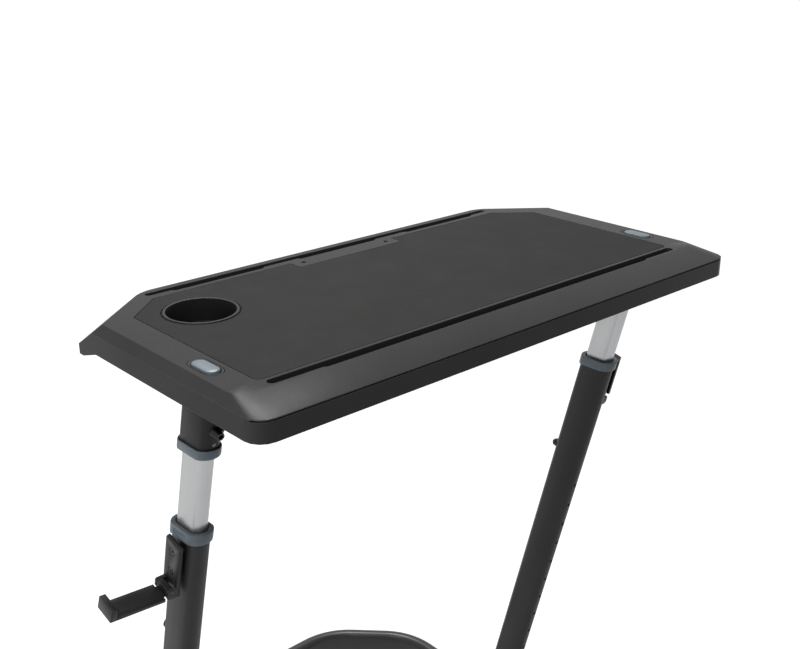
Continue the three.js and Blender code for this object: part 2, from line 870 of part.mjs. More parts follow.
// Tapered bolt with a hexagon socket, which hugs the sleeve's round edge
function makeClampBolt() {
  const root = tubeWidth / 2 - tubeWall;
  const tip = tubeWidth / 2 + clampReach;
  const head = turned([
    [0, root],
    [clampRootRadius, root],
    [clampRootRadius, tubeWidth / 2],
    [clampTipRadius, tip],
    [0, tip],
  ]);
  const socket = bar(clampSocketRadius, tip - clampSocketDepth, tip + overrun, fastenerSides);
  const lying = solidOf(head).subtract(solidOf(socket));
  const upright = geometryOf(lying).rotateX(Math.PI / 2).translate(0, 0, -clampStation);
  const seat = solidOf(prism(outerOval(clearance), -clampStation - overrun, overrun - clampStation));
  const shankTop = -root - tubeWall - 2 * clearance;
  const shank = crossBar(clampShankRadius, clampStation, shankTop, -clampShankReach);
  return solidOf(upright).subtract(seat).add(solidOf(shank));
}

// Sprung nose on a plate that lies against the inside of the inner tube
function makeSnapButton() {
  const innerFace = innerWidth / 2 - innerWall - clearance;
  const plateBack = innerFace - snapPlateThickness;
  const plate = block(
    [-snapPlateWidth / 2, -innerFace, -snapStation - snapPlateLength / 2],
    [snapPlateWidth / 2, -plateBack, -snapStation + snapPlateLength / 2],
  );
  const bore = innerOval(-innerWall - clearance);
  const curve = solidOf(prism(bore, -snapStation - overrun, overrun - snapStation));
  const nose = crossBar(snapRadius, snapStation, clearance - tubeWidth / 2, -plateBack);
  return solidOf(plate).intersect(curve).add(solidOf(nose));
}

// End ring of the sleeve, which guides the inner tube
function makeUpperCollar() {
  const bottom = -upperCollarTop - upperCollarHeight;
  const body = solidOf(legForm(outerOval(upperCollarFlare), bottom, -upperCollarTop));
  const seat = legForm(outerOval(clearance), -upperCollarTop - collarSeat, overrun);
  const bore = legForm(innerOval(clearance), bottom - overrun, overrun);
  return body.subtract(solidOf(seat)).subtract(solidOf(bore));
}

// Bright inner tube, drilled for the clamp bolt, the snap button and the latch pin
function makeInnerTube() {
  const shape = innerOval();
  shape.holes.push(innerOval(-innerWall));
  const tube = solidOf(prism(shape, -innerBottomStation, -innerTopStation));
  const bore = innerWall - innerWidth / 2 + innerWall;
  return tube.subtract(joined([
    solidOf(crossBar(clampShankRadius + clearance, clampStation, -tubeWidth, bore)),
    solidOf(crossBar(snapRadius + clearance, snapStation, -tubeWidth, bore)),
    solidOf(crossBar(holeRadius, latchStation, -tubeWidth, bore)),
  ]));
}

// Plug in the top of the inner tube: a flange that fits the sleeve's bore and a spigot inside the tube
function makePlug() {
  const seat = -innerTopStation + clearance;
  const flange = solidOf(prism(outerOval(-tubeWall - housingFit), seat, seat + plugFlange));
  const spigot = prism(innerOval(-innerWall - housingFit), seat - plugSpigot, seat + plugFlange / 2);
  const hole = bar(rodHoleRadius, -overrun - innerTopStation, overrun, smallSides);
  return flange.add(solidOf(spigot)).subtract(solidOf(hole));
}

// Push rod: a head under the stem's round tip, a long shank, and a blade with a cross peg at the latch.
// The peg stands at the upper end of the pin's slanted slots while the latch is out.
const tipStation = (stemDepth - stemRadius) * cosLean + stemDepth * tanLean * Math.sin(lean);
const rodTop = tipStation + stemRadius + clearance;
const rodTravel = buttonTravel * cosLean;
const pegHeight = -latchStation + rodTravel / 2;

function makeRod() {
  const bladeTop = -latchStation + bladeLength - pegRadius * 2;
  const bladeFoot = -latchStation - pegRadius * 2;
  const head = bar(rodHeadRadius, -rodTop - rodHeadHeight, -rodTop, smallSides);
  const shank = bar(rodRadius, bladeTop - pegRadius, -rodTop - rodHeadHeight / 2, smallSides);
  const blade = block(
    [-bladeThickness / 2, -bladeWidth / 2, bladeFoot],
    [bladeThickness / 2, bladeWidth / 2, bladeTop],
  );
  const peg = bar(pegRadius, -latchBlockHalf, latchBlockHalf, smallSides).rotateY(Math.PI / 2);
  peg.translate(0, 0, pegHeight);
  return joined([solidOf(head), solidOf(shank), solidOf(blade), solidOf(peg)]);
}

// Latch pin: a round nose on a forked block whose cheeks hold the slanted slots
function makeLatchPin() {
  const halfHeight = latchBlockHeight / 2;
  const body = block(
    [-latchBlockHalf, -latchBlockNear, -latchStation - halfHeight],
    [latchBlockHalf, latchBlockFar, -latchStation + halfHeight],
  );
  const noseTip = tubeWall + noseGap - tubeWidth / 2;
  const nose = crossBar(noseRadius, latchStation, noseTip, -latchBlockNear / 2);
  const gapHalf = bladeThickness / 2 + clearance;
  const gapReach = bladeWidth / 2 + looseFit;
  const gap = block(
    [-gapHalf, -gapReach - latchTravel, -latchStation - overrun],
    [gapHalf, gapReach, -latchStation + overrun],
  );
  const slope = Math.atan2(rodTravel, latchTravel);
  const slotLength = Math.hypot(rodTravel, latchTravel);
  const slotShape = oblong(2 * (pegRadius + clearance), slotLength + 2 * (pegRadius + clearance));
  const slot = prism(slotShape, -latchBlockHalf - clearance, latchBlockHalf + clearance);
  slot.rotateZ(-Math.PI / 2 + slope).rotateY(Math.PI / 2).rotateX(Math.PI / 2);
  slot.translate(0, -latchTravel / 2, -latchStation);
  return solidOf(body).add(solidOf(nose)).subtract(joined([solidOf(gap), solidOf(slot)]));
}

// Guide shoe in the foot of the inner tube, hollowed for the rod's blade and the latch pin
function makeHousing() {
  const top = -latchStation + housingTop;
  const bottom = -innerBottomStation - clearance;
  const plug = solidOf(prism(innerOval(-innerWall - housingFit), bottom - housingFoot / 2, top));
  const foot = prism(outerOval(-tubeWall - housingFit), bottom - housingFoot, bottom);
  const halfHeight = latchBlockHeight / 2 + looseFit;
  const room = block(
    [-latchBlockHalf - looseFit, -latchBlockNear - looseFit, -latchStation - halfHeight],
    [latchBlockHalf + looseFit, latchBlockFar + latchTravel + looseFit, -latchStation + halfHeight],
  );
  const bladeHalf = bladeWidth / 2 + looseFit;
  const shaft = block(
    [-rodHoleRadius, -bladeHalf, -latchStation - halfHeight - rodTravel],
    [rodHoleRadius, bladeHalf, overrun],
  );
  const noseBore = crossBar(noseRadius + clearance, latchStation, -tubeWidth, 0);
  return plug.add(solidOf(foot)).subtract(joined([solidOf(room), solidOf(shaft), solidOf(noseBore)]));
}

// Mouth of the lower tube: a cup round the inner tube over a narrow bush
function makeLowerCollar(side) {
  const top = -lowerCollarTop;
  const bottom = top - lowerCollarHeight;
  const bushTop = top - mouthDepth;
  const body = solidOf(legForm(outerOval(lowerCollarFlare), bottom, top));
  const mouth = legForm(innerOval(mouthGap), bushTop, overrun);
  const bore = legForm(innerOval(clearance), bottom - overrun, overrun);
  const seat = legForm(outerOval(clearance), bottom - overrun, bushTop - bushDepth);
  const face = side * (halfTube + lowerCollarFlare);
  const middle = -(lowerCollarTop + lowerCollarHeight / 2) / cosLean;
  const pad = new THREE.BoxGeometry(2 * padRecess, padLength, padHeight);
  pad.applyMatrix4(levelEnds).translate(face, 0, middle);
  return body.subtract(joined([mouth, bore, seat, pad].map(solidOf)));
}

// Black outer tube with its row of index holes towards the rider
function makeLowerTube(side) {
  const shape = outerOval();
  shape.holes.push(outerOval(-tubeWall));
  const top = -lowerCollarTop - mouthDepth - bushDepth - clearance;
  const tube = solidOf(legForm(shape, -shoeLevel + clearance, top));
  const bore = 2 * tubeWall - tubeWidth / 2;
  const holes = [];
  for (let index = 0; index < holeCount; index += 1) {
    holes.push(solidOf(crossBar(holeRadius, firstHoleStation + index * holeSpacing, -tubeWidth, bore)));
  }
  holes.push(solidOf(crossBar(studShankRadius + clearance, studStation, -bore, tubeWidth)));
  for (const station of hookScrewStations) {
    const hole = bar(hookScrewRadius + clearance, halfTube - 2 * tubeWall, halfTube + tubeWall, smallSides);
    holes.push(solidOf(hole.rotateY(side * Math.PI / 2).translate(0, 0, -station)));
  }
  return tube.subtract(joined(holes));
}

// Bevelled stud on the far edge, whose shank stops the inner tube's shoe
function makeStud() {
  const root = tubeWidth / 2 - tubeWall;
  const tip = tubeWidth / 2 + studReach;
  const head = turned([
    [0, root],
    [studRadius, root],
    [studRadius, tip - studBevel],
    [studRadius - studBevel, tip],
    [0, tip],
  ]);
  head.rotateX(-Math.PI / 2).translate(0, 0, -studStation);
  const seat = solidOf(prism(outerOval(clearance), -studStation - overrun, overrun - studStation));
  const shank = crossBar(studShankRadius, studStation, root - tubeWall, tip - studBevel);
  return solidOf(head).subtract(seat).add(solidOf(shank));
}

// Hook bracket: a plate that stands off the tube, with two ears at its foot
const plateInner = halfTube + hookStandoff;
const plateOuter = plateInner + hookPlateThickness;
const pivotX = plateOuter + hookPivotOut;

function makeHookBracket(side) {
  const earTop = -hookPivotStation + hookEarRise;
  const outline = [
    [plateInner, -hookPlateBottom],
    [pivotX + hookEarReach - hookPlateCorner, -hookPlateBottom],
    [pivotX + hookEarReach, -hookPlateBottom + hookPlateCorner],
    [pivotX + hookEarReach, earTop - hookPlateCorner / 2],
    [pivotX + hookEarReach - hookPlateCorner / 2, earTop],
    [plateOuter, earTop],
    [plateOuter, -hookPlateTop - hookPlateCorner / 2],
    [plateOuter - hookPlateCorner / 2, -hookPlateTop],
    [plateInner, -hookPlateTop],
  ];
  const shape = new THREE.Shape(outline.map(([x, z]) => new THREE.Vector2(side * x, z)));
  const plate = prism(shape, -hookWidth / 2, hookWidth / 2).rotateX(Math.PI / 2);
  const gapHalf = hookKnuckleWidth / 2 + clearance;
  const gap = block(
    [Math.min(side * plateOuter, side * overrun), -gapHalf, -hookPlateBottom - overrun],
    [Math.max(side * plateOuter, side * overrun), gapHalf, -hookPlateTop],
  );
  const pinHole = crossBar(hookPinRadius + clearance, hookPivotStation, -hookWidth, hookWidth);
  const cuts = [solidOf(gap), solidOf(pinHole.translate(side * pivotX, 0, 0))];
  for (const station of hookScrewStations) {
    const hole = bar(hookScrewRadius + clearance, 0, plateOuter, smallSides);
    const recess = bar(hookScrewHeadRadius + clearance, plateOuter - hookScrewRecess, overrun);
    for (const cut of [hole, recess]) {
      cuts.push(solidOf(cut.rotateY(side * Math.PI / 2).translate(0, 0, -station)));
    }
  }
  return solidOf(plate).subtract(joined(cuts));
}

// Oblong spacer between the tube and the plate, drilled for both screws
function makeHookSpacer(side) {
  const [upper, lower] = hookScrewStations;
  const plan = oblong(2 * hookSpacerRadius, lower - upper + 2 * hookSpacerRadius);
  const pad = solidOf(prism(plan, halfTube + clearance, plateInner - clearance));
  const holes = [upper, lower].map((station) => solidOf(
    bar(hookScrewRadius + clearance, 0, overrun, smallSides).translate(0, (upper + lower) / 2 - station, 0),
  ));
  const upright = geometryOf(pad.subtract(joined(holes))).rotateZ(Math.PI / 2).rotateY(Math.PI / 2);
  upright.rotateZ(side < 0 ? Math.PI : 0);
  return upright.translate(0, 0, -(upper + lower) / 2);
}

function makeHookPin(side) {
  const reach = hookWidth / 2;
  return crossBar(hookPinRadius, hookPivotStation, -reach, reach).translate(side * pivotX, 0, 0);
}

// Arm and tip are drawn flat about the pivot, reaching along +X, and then swung to their angle
function swung(form, side, degrees) {
  const geometry = form.isBufferGeometry ? form : geometryOf(form);
  geometry.rotateY(-THREE.MathUtils.degToRad(degrees));
  geometry.translate(pivotX, 0, -hookPivotStation);
  return side > 0 ? geometry : geometry.rotateZ(Math.PI);
}

function makeHookArm() {
  const top = -hookArmDrop;
  const bottom = top - hookArmThickness;
  const half = hookWidth / 2;
  const body = solidOf(block([hookArmStart, -half, bottom], [hookArmEnd - clearance, half, top]));
  const neckHalf = hookKnuckleWidth / 2;
  const neckLow = top - hookArmThickness / 2;
  const neck = solidOf(block([0, -neckHalf, neckLow], [hookArmStart + hookPinRadius, neckHalf, top]));
  const knuckle = solidOf(crossBar(hookKnuckleRadius, 0, -neckHalf, neckHalf));
  const pinHole = solidOf(crossBar(hookPinRadius + clearance, 0, -half, half));
  const middle = (top + bottom) / 2;
  const tongueHalf = hookTongueWidth / 2 + clearance;
  const socket = solidOf(block(
    [hookArmEnd - hookTongueLength - 2 * clearance, -tongueHalf, bottom - overrun],
    [hookArmEnd + overrun, tongueHalf, overrun],
  ));
  const pegX = hookArmEnd - hookTongueLength / 2;
  const pegHole = crossBar(hookPegRadius + clearance, -middle, -hookWidth, hookWidth).translate(pegX, 0, 0);
  return joined([body, neck, knuckle]).subtract(joined([pinHole, socket, solidOf(pegHole)]));
}

function makeHookTip() {
  const top = -hookArmDrop;
  const bottom = top - hookArmThickness;
  const half = hookWidth / 2;
  const lip = solidOf(block([hookArmEnd, -half, bottom], [hookTipEnd, half, hookTipRise]));
  const tongueHalf = hookTongueWidth / 2;
  const tongue = solidOf(block(
    [hookArmEnd - hookTongueLength, -tongueHalf, bottom],
    [hookTipEnd, tongueHalf, top],
  ));
  const pegX = hookArmEnd - hookTongueLength / 2;
  const peg = crossBar(hookPegRadius, -(top + bottom) / 2, -half, half).translate(pegX, 0, 0);
  return joined([lip, tongue, solidOf(peg)]);
}

// Both legs
for (const [hand, side] of Object.entries(sides)) {
  const leg = new THREE.Group();
  leg.position.set(side * legX, legSetback, 0);
  leg.rotation.x = lean;
  desk.add(leg);
  addPiece(leg, `sleeve_${hand}`, makeSleeve(side), 'paint');
  addPiece(leg, `clamp_bolt_${hand}`, makeClampBolt(), 'steel');
  addPiece(leg, `snap_button_${hand}`, makeSnapButton(), 'collar');
  addPiece(leg, `upper_collar_${hand}`, makeUpperCollar(), 'collar');
  addPiece(leg, `upper_tube_${hand}`, makeInnerTube(), 'bright');
  addPiece(leg, `tube_plug_${hand}`, makePlug(), 'darkPlastic');
  addPiece(leg, `push_rod_${hand}`, makeRod(), 'steel');
  addPiece(leg, `latch_pin_${hand}`, makeLatchPin(), 'steel');
  addPiece(leg, `latch_housing_${hand}`, makeHousing(), 'darkPlastic');
  addPiece(leg, `lower_collar_${hand}`, makeLowerCollar(side), 'collar');
  addPiece(leg, `lower_tube_${hand}`, makeLowerTube(side), 'paint');
  addPiece(leg, `stop_stud_${hand}`, makeStud(), 'darkPlastic');
  addPiece(leg, `hook_bracket_${hand}`, makeHookBracket(side), 'darkPlastic');
  addPiece(leg, `hook_spacer_${hand}`, makeHookSpacer(side), 'darkPlastic');
  addPiece(leg, `hook_pin_${hand}`, makeHookPin(side), 'steel');
  const angle = side < 0 ? hookOpenDegrees : hookFoldedDegrees;
  addPiece(leg, `hook_arm_${hand}`, swung(makeHookArm(), side, angle), 'darkPlastic');
  addPiece(leg, `hook_tip_${hand}`, swung(makeHookTip(), side, angle), 'darkPlastic');
  hookScrewStations.forEach((station, index) => {
    const seat = plateOuter - hookScrewRecess + clearance;
    const reach = seat - halfTube + tubeWall + clearance;
    const form = screwForm(0, hookScrewHeadRadius, hookScrewHeadHeight, hookScrewRadius, reach);
    form.rotateY(-side * Math.PI / 2);
    const screw = addPiece(leg, `hook_screw_${hand}_${index + 1}`, form, 'steel');
    screw.position.set(side * seat, 0, -station);
  });
}

// Floor frame: one length of oval tube on edge, bent twice at each far corner
function bentPath(corners) {
  const headings = corners.slice(1).map((corner, index) => corner.clone().sub(corners[index]).normalize());
  const stations = [{ point: corners[0], heading: headings[0] }];
  for (let index = 1; index < corners.length - 1; index += 1) {
    const before = headings[index - 1];
    const after = headings[index];
    const turn = Math.atan2(before.cross(after), before.dot(after));
    const tangent = bendRadius * Math.tan(Math.abs(turn) / 2);
    const start = corners[index].clone().addScaledVector(before, -tangent);
    const inward = new THREE.Vector2(-before.y, before.x).multiplyScalar(Math.sign(turn));
    const centre = start.clone().addScaledVector(inward, bendRadius);
    for (let step = 0; step <= bendSteps; step += 1) {
      const angle = turn * step / bendSteps;
      const point = start.clone().rotateAround(centre, angle);
      const heading = before.clone().rotateAround(new THREE.Vector2(), angle);
      stations.push({ point, heading });
    }
  }
  stations.push({ point: corners[corners.length - 1], heading: headings[headings.length - 1] });
  return stations;
}

function sweptAlong(stations, section, height) {
  return loft(stations.map(({ point, heading }) => section.map(({ x, y }) => new THREE.Vector3(
    point.x - heading.y * x,
    point.y + heading.x * x,
    height + y,
  ))));
}

const railHeight = footHeight + tubeWidth / 2;
const barY = frameFar - halfTube;
const footY = legSetback + (deskHeight - railTop) * tanLean;

function framePath(nearY) {
  return bentPath([
    new THREE.Vector2(legX, nearY),
    new THREE.Vector2(legX, barY - cornerCut),
    new THREE.Vector2(legX - cornerCut, barY),
    new THREE.Vector2(cornerCut - legX, barY),
    new THREE.Vector2(-legX, barY - cornerCut),
    new THREE.Vector2(-legX, nearY),
  ]);
}

function shoeBoltBars(radius, low, high) {
  const bars = [];
  for (const side of Object.values(sides)) {
    for (const along of [-1, 1]) {
      const geometry = bar(radius, low, high, smallSides).rotateY(side * Math.PI / 2);
      const y = footY + along * (shoeBoltSpacing / 2);
      bars.push(solidOf(geometry.translate(side * legX, y, railTop - shoeBoltDrop)));
    }
  }
  return joined(bars);
}

function makeBaseFrame() {
  const outer = outerOval().getPoints(softSteps);
  const inner = outerOval(-tubeWall).getPoints(softSteps);
  const body = solidOf(sweptAlong(framePath(-railStart), outer, railHeight));
  const bore = solidOf(sweptAlong(framePath(-railStart - overrun), inner, railHeight));
  return body.subtract(bore).subtract(shoeBoltBars(boltRadius + clearance, -tubeThickness, tubeThickness));
}

// Length of rail section along Y, used to hollow whatever sits on a rail
function railForm(from, to, grow) {
  return prism(outerOval(grow), -to, -from).rotateX(Math.PI / 2).translate(0, 0, railHeight);
}

// Saddle on each rail with a spigot that the lower tube stands on.
// Its two cross bolts are captive: heads outside, nuts on the inner face.
const shoeHalf = halfTube + clearance + shoeCheek;

function makeShoeBolts(side) {
  const bolts = [];
  for (const along of [-1, 1]) {
    const bolt = screwForm(0, boltHeadRadius, boltHeadHeight, boltRadius, 2 * shoeHalf);
    const nut = bar(boltHeadRadius, 2 * shoeHalf, 2 * shoeHalf + nutHeight, fastenerSides);
    for (const form of [bolt, nut]) {
      form.rotateY(-side * Math.PI / 2);
      const y = footY + along * (shoeBoltSpacing / 2);
      bolts.push(solidOf(form.translate(side * (legX + shoeHalf), y, railTop - shoeBoltDrop)));
    }
  }
  return joined(bolts);
}

function makeShoe(side) {
  const plan = roundedRectangle(2 * shoeHalf, shoeLength, shoeCorner);
  const saddle = prism(plan, railTop - shoeCheekDrop, railTop + shoeTop, planSteps).translate(0, footY, 0);
  const rail = railForm(footY - shoeLength, footY + shoeLength, clearance);
  const bore = outerOval(-tubeWall - clearance);
  const spigot = legForm(bore, -shoeLevel - shoeTop / 2, spigotHeight - shoeLevel);
  onDeck(spigot, side).translate(0, 0, deskHeight);
  for (const form of [saddle, rail]) form.translate(side * legX, 0, 0);
  return solidOf(saddle).subtract(solidOf(rail)).add(solidOf(spigot)).add(makeShoeBolts(side));
}

// Soft foot whose top cradles the tube's round underside
function makeFoot() {
  const plan = roundedRectangle(padFootWidth, padFootLength, padFootCorner);
  const pad = solidOf(prism(plan, 0, footHeight + padFootCradle, softSteps));
  return pad.subtract(solidOf(railForm(-padFootLength, padFootLength, clearance)));
}

// End cap: a bevelled plate over the tube's end and a spigot in its bore
function makeRailCap() {
  const plate = new THREE.ExtrudeGeometry(outerOval(-capBevel), {
    depth: capThickness - capBevel,
    bevelThickness: capBevel,
    bevelSize: capBevel,
    bevelSegments: 1,
    curveSegments: softSteps,
  });
  const half = solidOf(plate.translate(0, 0, capBevel - capThickness));
  const spigot = prism(outerOval(-tubeWall - clearance), -capThickness / 2, capSpigot, softSteps);
  const trimmed = half.subtract(solidOf(block([-overrun, -overrun, 0], [overrun, overrun, overrun])));
  return geometryOf(trimmed.add(solidOf(spigot))).rotateX(-Math.PI / 2);
}

const part = new THREE.Group();
part.add(desk);
addPiece(part, 'base_frame', makeBaseFrame(), 'paint');
for (const [hand, side] of Object.entries(sides)) {
  addPiece(part, `leg_shoe_${hand}`, makeShoe(side), 'darkPlastic');
  const cap = addPiece(part, `rail_end_cap_${hand}`, makeRailCap(), 'darkPlastic');
  cap.position.set(side * legX, -railStart - clearance, railHeight);
  const nearFoot = addPiece(part, `near_foot_${hand}`, makeFoot(), 'rubber');
  nearFoot.position.set(side * legX, nearFootInset - railStart, 0);
  const farFoot = addPiece(part, `far_foot_${hand}`, makeFoot(), 'rubber');
  farFoot.position.set(side * (legX - cornerCut - farFootInset), barY, 0);
  farFoot.rotation.z = Math.PI / 2;
}

// Origin at the middle of the whole desk's footprint, on the floor
const bounds = new THREE.Box3().setFromObject(part, true);
const centre = bounds.getCenter(new THREE.Vector3());
part.position.set(-centre.x, -centre.y, -bounds.min.z);

export default part;
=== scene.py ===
# Bike trainer desk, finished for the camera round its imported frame.
# Metres, +Z up, +Y away from the rider, +X to the rider's right. The legs lean towards the rider.
import json
import math

import bmesh
import bpy
from mathutils import Matrix, Vector

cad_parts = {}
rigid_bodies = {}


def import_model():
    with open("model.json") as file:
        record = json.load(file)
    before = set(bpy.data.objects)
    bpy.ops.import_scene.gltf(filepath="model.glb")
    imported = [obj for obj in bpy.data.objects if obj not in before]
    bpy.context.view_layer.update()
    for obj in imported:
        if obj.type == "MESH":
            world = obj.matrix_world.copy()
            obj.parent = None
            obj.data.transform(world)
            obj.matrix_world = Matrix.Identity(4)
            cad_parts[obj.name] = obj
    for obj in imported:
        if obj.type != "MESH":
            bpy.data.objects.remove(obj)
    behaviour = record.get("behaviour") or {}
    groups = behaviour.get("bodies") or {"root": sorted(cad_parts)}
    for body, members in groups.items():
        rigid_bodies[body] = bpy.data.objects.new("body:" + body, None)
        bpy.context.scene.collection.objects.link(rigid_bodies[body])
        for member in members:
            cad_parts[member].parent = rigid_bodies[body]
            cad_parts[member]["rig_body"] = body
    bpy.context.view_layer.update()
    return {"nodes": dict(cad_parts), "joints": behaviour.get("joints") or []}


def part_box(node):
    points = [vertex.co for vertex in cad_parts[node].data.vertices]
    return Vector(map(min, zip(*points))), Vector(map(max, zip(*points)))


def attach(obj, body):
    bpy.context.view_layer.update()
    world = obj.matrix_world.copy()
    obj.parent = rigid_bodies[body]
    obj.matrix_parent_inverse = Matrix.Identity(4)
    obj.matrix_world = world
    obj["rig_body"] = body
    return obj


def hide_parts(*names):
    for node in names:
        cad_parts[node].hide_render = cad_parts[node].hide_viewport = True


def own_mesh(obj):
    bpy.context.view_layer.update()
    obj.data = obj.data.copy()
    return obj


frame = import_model()
cad_nodes = frame["nodes"]


# Camera and studio: the camera stands behind the rider's left shoulder and looks down over the deck.
# A grey world, a top light over the left end, a small far light and a low side light show the finishes.
# The floor is pale, shows white, keeps a faint shadow of the desk and is clear from underneath.
camera_place = Vector((-0.8065, -1.0462, 1.3233))
camera_aim = Vector((0.6283, 0.6926, -0.3545))
camera_lens = 49.75
camera_sensor = 36.0
white = (1.0, 1.0, 1.0, 1.0)
world_level = 0.36
backdrop_level = 1.0
floor_half = 30.0
floor_pale = (0.8, 0.8, 0.8, 1.0)
floor_share_white = 0.7
floor_white_level = 1.35

scene = bpy.context.scene
scene.view_settings.view_transform = "Standard"
camera_data = bpy.data.cameras.new("camera")
camera_data.lens = camera_lens
camera_data.sensor_width = camera_sensor
camera = bpy.data.objects.new("camera", camera_data)
camera.location = camera_place
camera.rotation_euler = camera_aim.to_track_quat("-Z", "Y").to_euler()
scene.collection.objects.link(camera)
scene.camera = camera


def maths(tree, operation, first, second=None, third=None, clamp=False):
    """Maths node whose inputs are sockets or plain numbers, as its output socket."""
    node = tree.nodes.new("ShaderNodeMath")
    node.operation = operation
    node.use_clamp = clamp
    for index, value in enumerate((first, second, third)):
        if isinstance(value, (int, float)):
            node.inputs[index].default_value = value
        elif value is not None:
            tree.links.new(value, node.inputs[index])
    return node.outputs[0]


def seen_directly(tree):
    """1 for rays from the camera and for what gloss and glass show, 0 for light on a matt surface."""
    path = tree.nodes.new("ShaderNodeLightPath").outputs
    gloss = maths(tree, "MAXIMUM", path["Is Camera Ray"], path["Is Glossy Ray"])
    return maths(tree, "MAXIMUM", gloss, path["Is Transmission Ray"])


def mixed_shaders(tree, share, first, second):
    """Mix of two shaders by a share, as its output socket."""
    node = tree.nodes.new("ShaderNodeMixShader")
    for socket, source in zip(node.inputs, (share, first, second)):
        tree.links.new(source, socket)
    return node.outputs[0]


world = bpy.data.worlds.new("studio")
scene.world = world
world.use_nodes = True
world_tree = world.node_tree
world_tree.nodes.clear()
world_shades = []
for level in (world_level, backdrop_level):
    shade = world_tree.nodes.new("ShaderNodeBackground")
    shade.inputs["Color"].default_value = white
    shade.inputs["Strength"].default_value = level
    world_shades.append(shade.outputs[0])
world_mix = mixed_shaders(world_tree, seen_directly(world_tree), *world_shades)
world_out = world_tree.nodes.new("ShaderNodeOutputWorld")
world_tree.links.new(world_mix, world_out.inputs["Surface"])


def soft_box(name, place, aim, width, height, power):
    """Rectangular area lamp that looks at a point."""
    data = bpy.data.lights.new(name, "AREA")
    data.shape = "RECTANGLE"
    data.size = width
    data.size_y = height
    data.energy = power
    lamp = bpy.data.objects.new(name, data)
    lamp.location = place
    lamp.rotation_euler = (Vector(aim) - Vector(place)).to_track_quat("-Z", "Y").to_euler()
    scene.collection.objects.link(lamp)
    return lamp


soft_box(
    "top_light", place=(-0.85, -0.6, 2.7), aim=(-0.35, -0.2, 0.9),
    width=1.8, height=1.8, power=29.0,
)
soft_box(
    "far_light", place=(0.72, 1.2, 2.75), aim=(-0.3, -0.3, 0.9),
    width=0.7, height=0.5, power=40.0,
)
side_light = soft_box(
    "side_light", place=(-3.0, 0.3, 0.8), aim=(0.0, 0.0, 0.8),
    width=4.2, height=1.6, power=64.0,
)
# The bright tubes would mirror it as clipped white.
side_light.visible_glossy = False

floor_mesh = bpy.data.meshes.new("floor")
floor_corners = [(x * floor_half, y * floor_half, 0) for x, y in ((-1, -1), (1, -1), (1, 1), (-1, 1))]
floor_mesh.from_pydata(floor_corners, [], [(0, 1, 2, 3)])
floor = bpy.data.objects.new("floor", floor_mesh)
scene.collection.objects.link(floor)
floor_material = bpy.data.materials.new("pale_floor")
floor_material.use_nodes = True
floor_tree = floor_material.node_tree
floor_tree.nodes.clear()
floor_matt = floor_tree.nodes.new("ShaderNodeBsdfDiffuse")
floor_matt.inputs["Color"].default_value = floor_pale
floor_white = floor_tree.nodes.new("ShaderNodeEmission")
floor_white.inputs["Strength"].default_value = floor_white_level
floor_share = maths(floor_tree, "MULTIPLY", seen_directly(floor_tree), floor_share_white)
floor_top = mixed_shaders(floor_tree, floor_share, floor_matt.outputs[0], floor_white.outputs[0])
floor_side = floor_tree.nodes.new("ShaderNodeNewGeometry")
floor_clear = floor_tree.nodes.new("ShaderNodeBsdfTransparent")
floor_sided = mixed_shaders(
    floor_tree, floor_side.outputs["Backfacing"], floor_top, floor_clear.outputs[0],
)
floor_out = floor_tree.nodes.new("ShaderNodeOutputMaterial")
floor_tree.links.new(floor_sided, floor_out.inputs["Surface"])
floor_mesh.materials.append(floor_material)


# Deck top: an injection-moulded shell in charcoal plastic with a fine spark-eroded grain.
# A welded copy of the CAD shell gets its two rounded far corners and the fine shadow line that runs
# under the plain near chamfer.
deck_colour = (0.0302, 0.0302, 0.0302, 1.0)
far_corner_tangent = 0.013
far_corner_search = 0.045
far_corner_height = 0.004
far_corner_segments = 6
shadow_line_top = 0.91125
shadow_line_height = 0.0018
shadow_line_depth = 0.0022
shadow_line_border = 0.00001
near_wall_facing = -0.3
near_wall_tilt = 0.1
near_wall_reach = 0.015
level_slack = 0.00001
weld_gap = 0.000001
flat_bend = 0.5
cut_edge_segments = 2
rubbed_colour = (0.35, 0.35, 0.36, 1.0)
rubbed_edge_gain = 5.0
dust_colour = (0.5, 0.49, 0.47, 1.0)
dust_slope = 0.7
dust_gain = 3.0
patch_depth = 0.3
patch_floor = 0.85


def smooth_mesh(name, form, crease):
    """Mesh of a finished form, shaded smooth up to a crease in degrees."""
    mesh = bpy.data.meshes.new(name)
    form.to_mesh(mesh)
    form.free()
    for polygon in mesh.polygons:
        polygon.use_smooth = True
    mesh.set_sharp_from_angle(angle=math.radians(crease))
    return mesh


def welded_copy(node, crease, edge, reshape):
    """Copy of a CAD node with its facets joined, its sharp edges cut and its curves shaded smooth."""
    source = cad_nodes[node].data
    form = bmesh.new()
    for vertex in source.vertices:
        form.verts.new(vertex.co)
    form.verts.ensure_lookup_table()
    for polygon in source.polygons:
        form.faces.new([form.verts[index] for index in polygon.vertices])
    bmesh.ops.remove_doubles(form, verts=form.verts, dist=weld_gap)
    bmesh.ops.dissolve_limit(
        form, angle_limit=math.radians(flat_bend), verts=form.verts, edges=form.edges,
    )
    bmesh.ops.recalc_face_normals(form, faces=form.faces)
    if reshape:
        reshape(form)
        bmesh.ops.recalc_face_normals(form, faces=form.faces)
    if edge > 0.0:
        sharp = [
            rim
            for rim in form.edges
            if len(rim.link_faces) == 2
            and rim.calc_face_angle() > math.radians(crease)
            and rim.calc_length() > edge
        ]
        bmesh.ops.bevel(
            form, geom=sharp, offset=edge, offset_type="OFFSET", segments=cut_edge_segments,
            profile=0.5, affect="EDGES", clamp_overlap=False, harden_normals=False,
        )
    bmesh.ops.triangulate(form, faces=[face for face in form.faces if len(face.verts) > 4])
    return smooth_mesh(f"{node}_shape", form, crease)


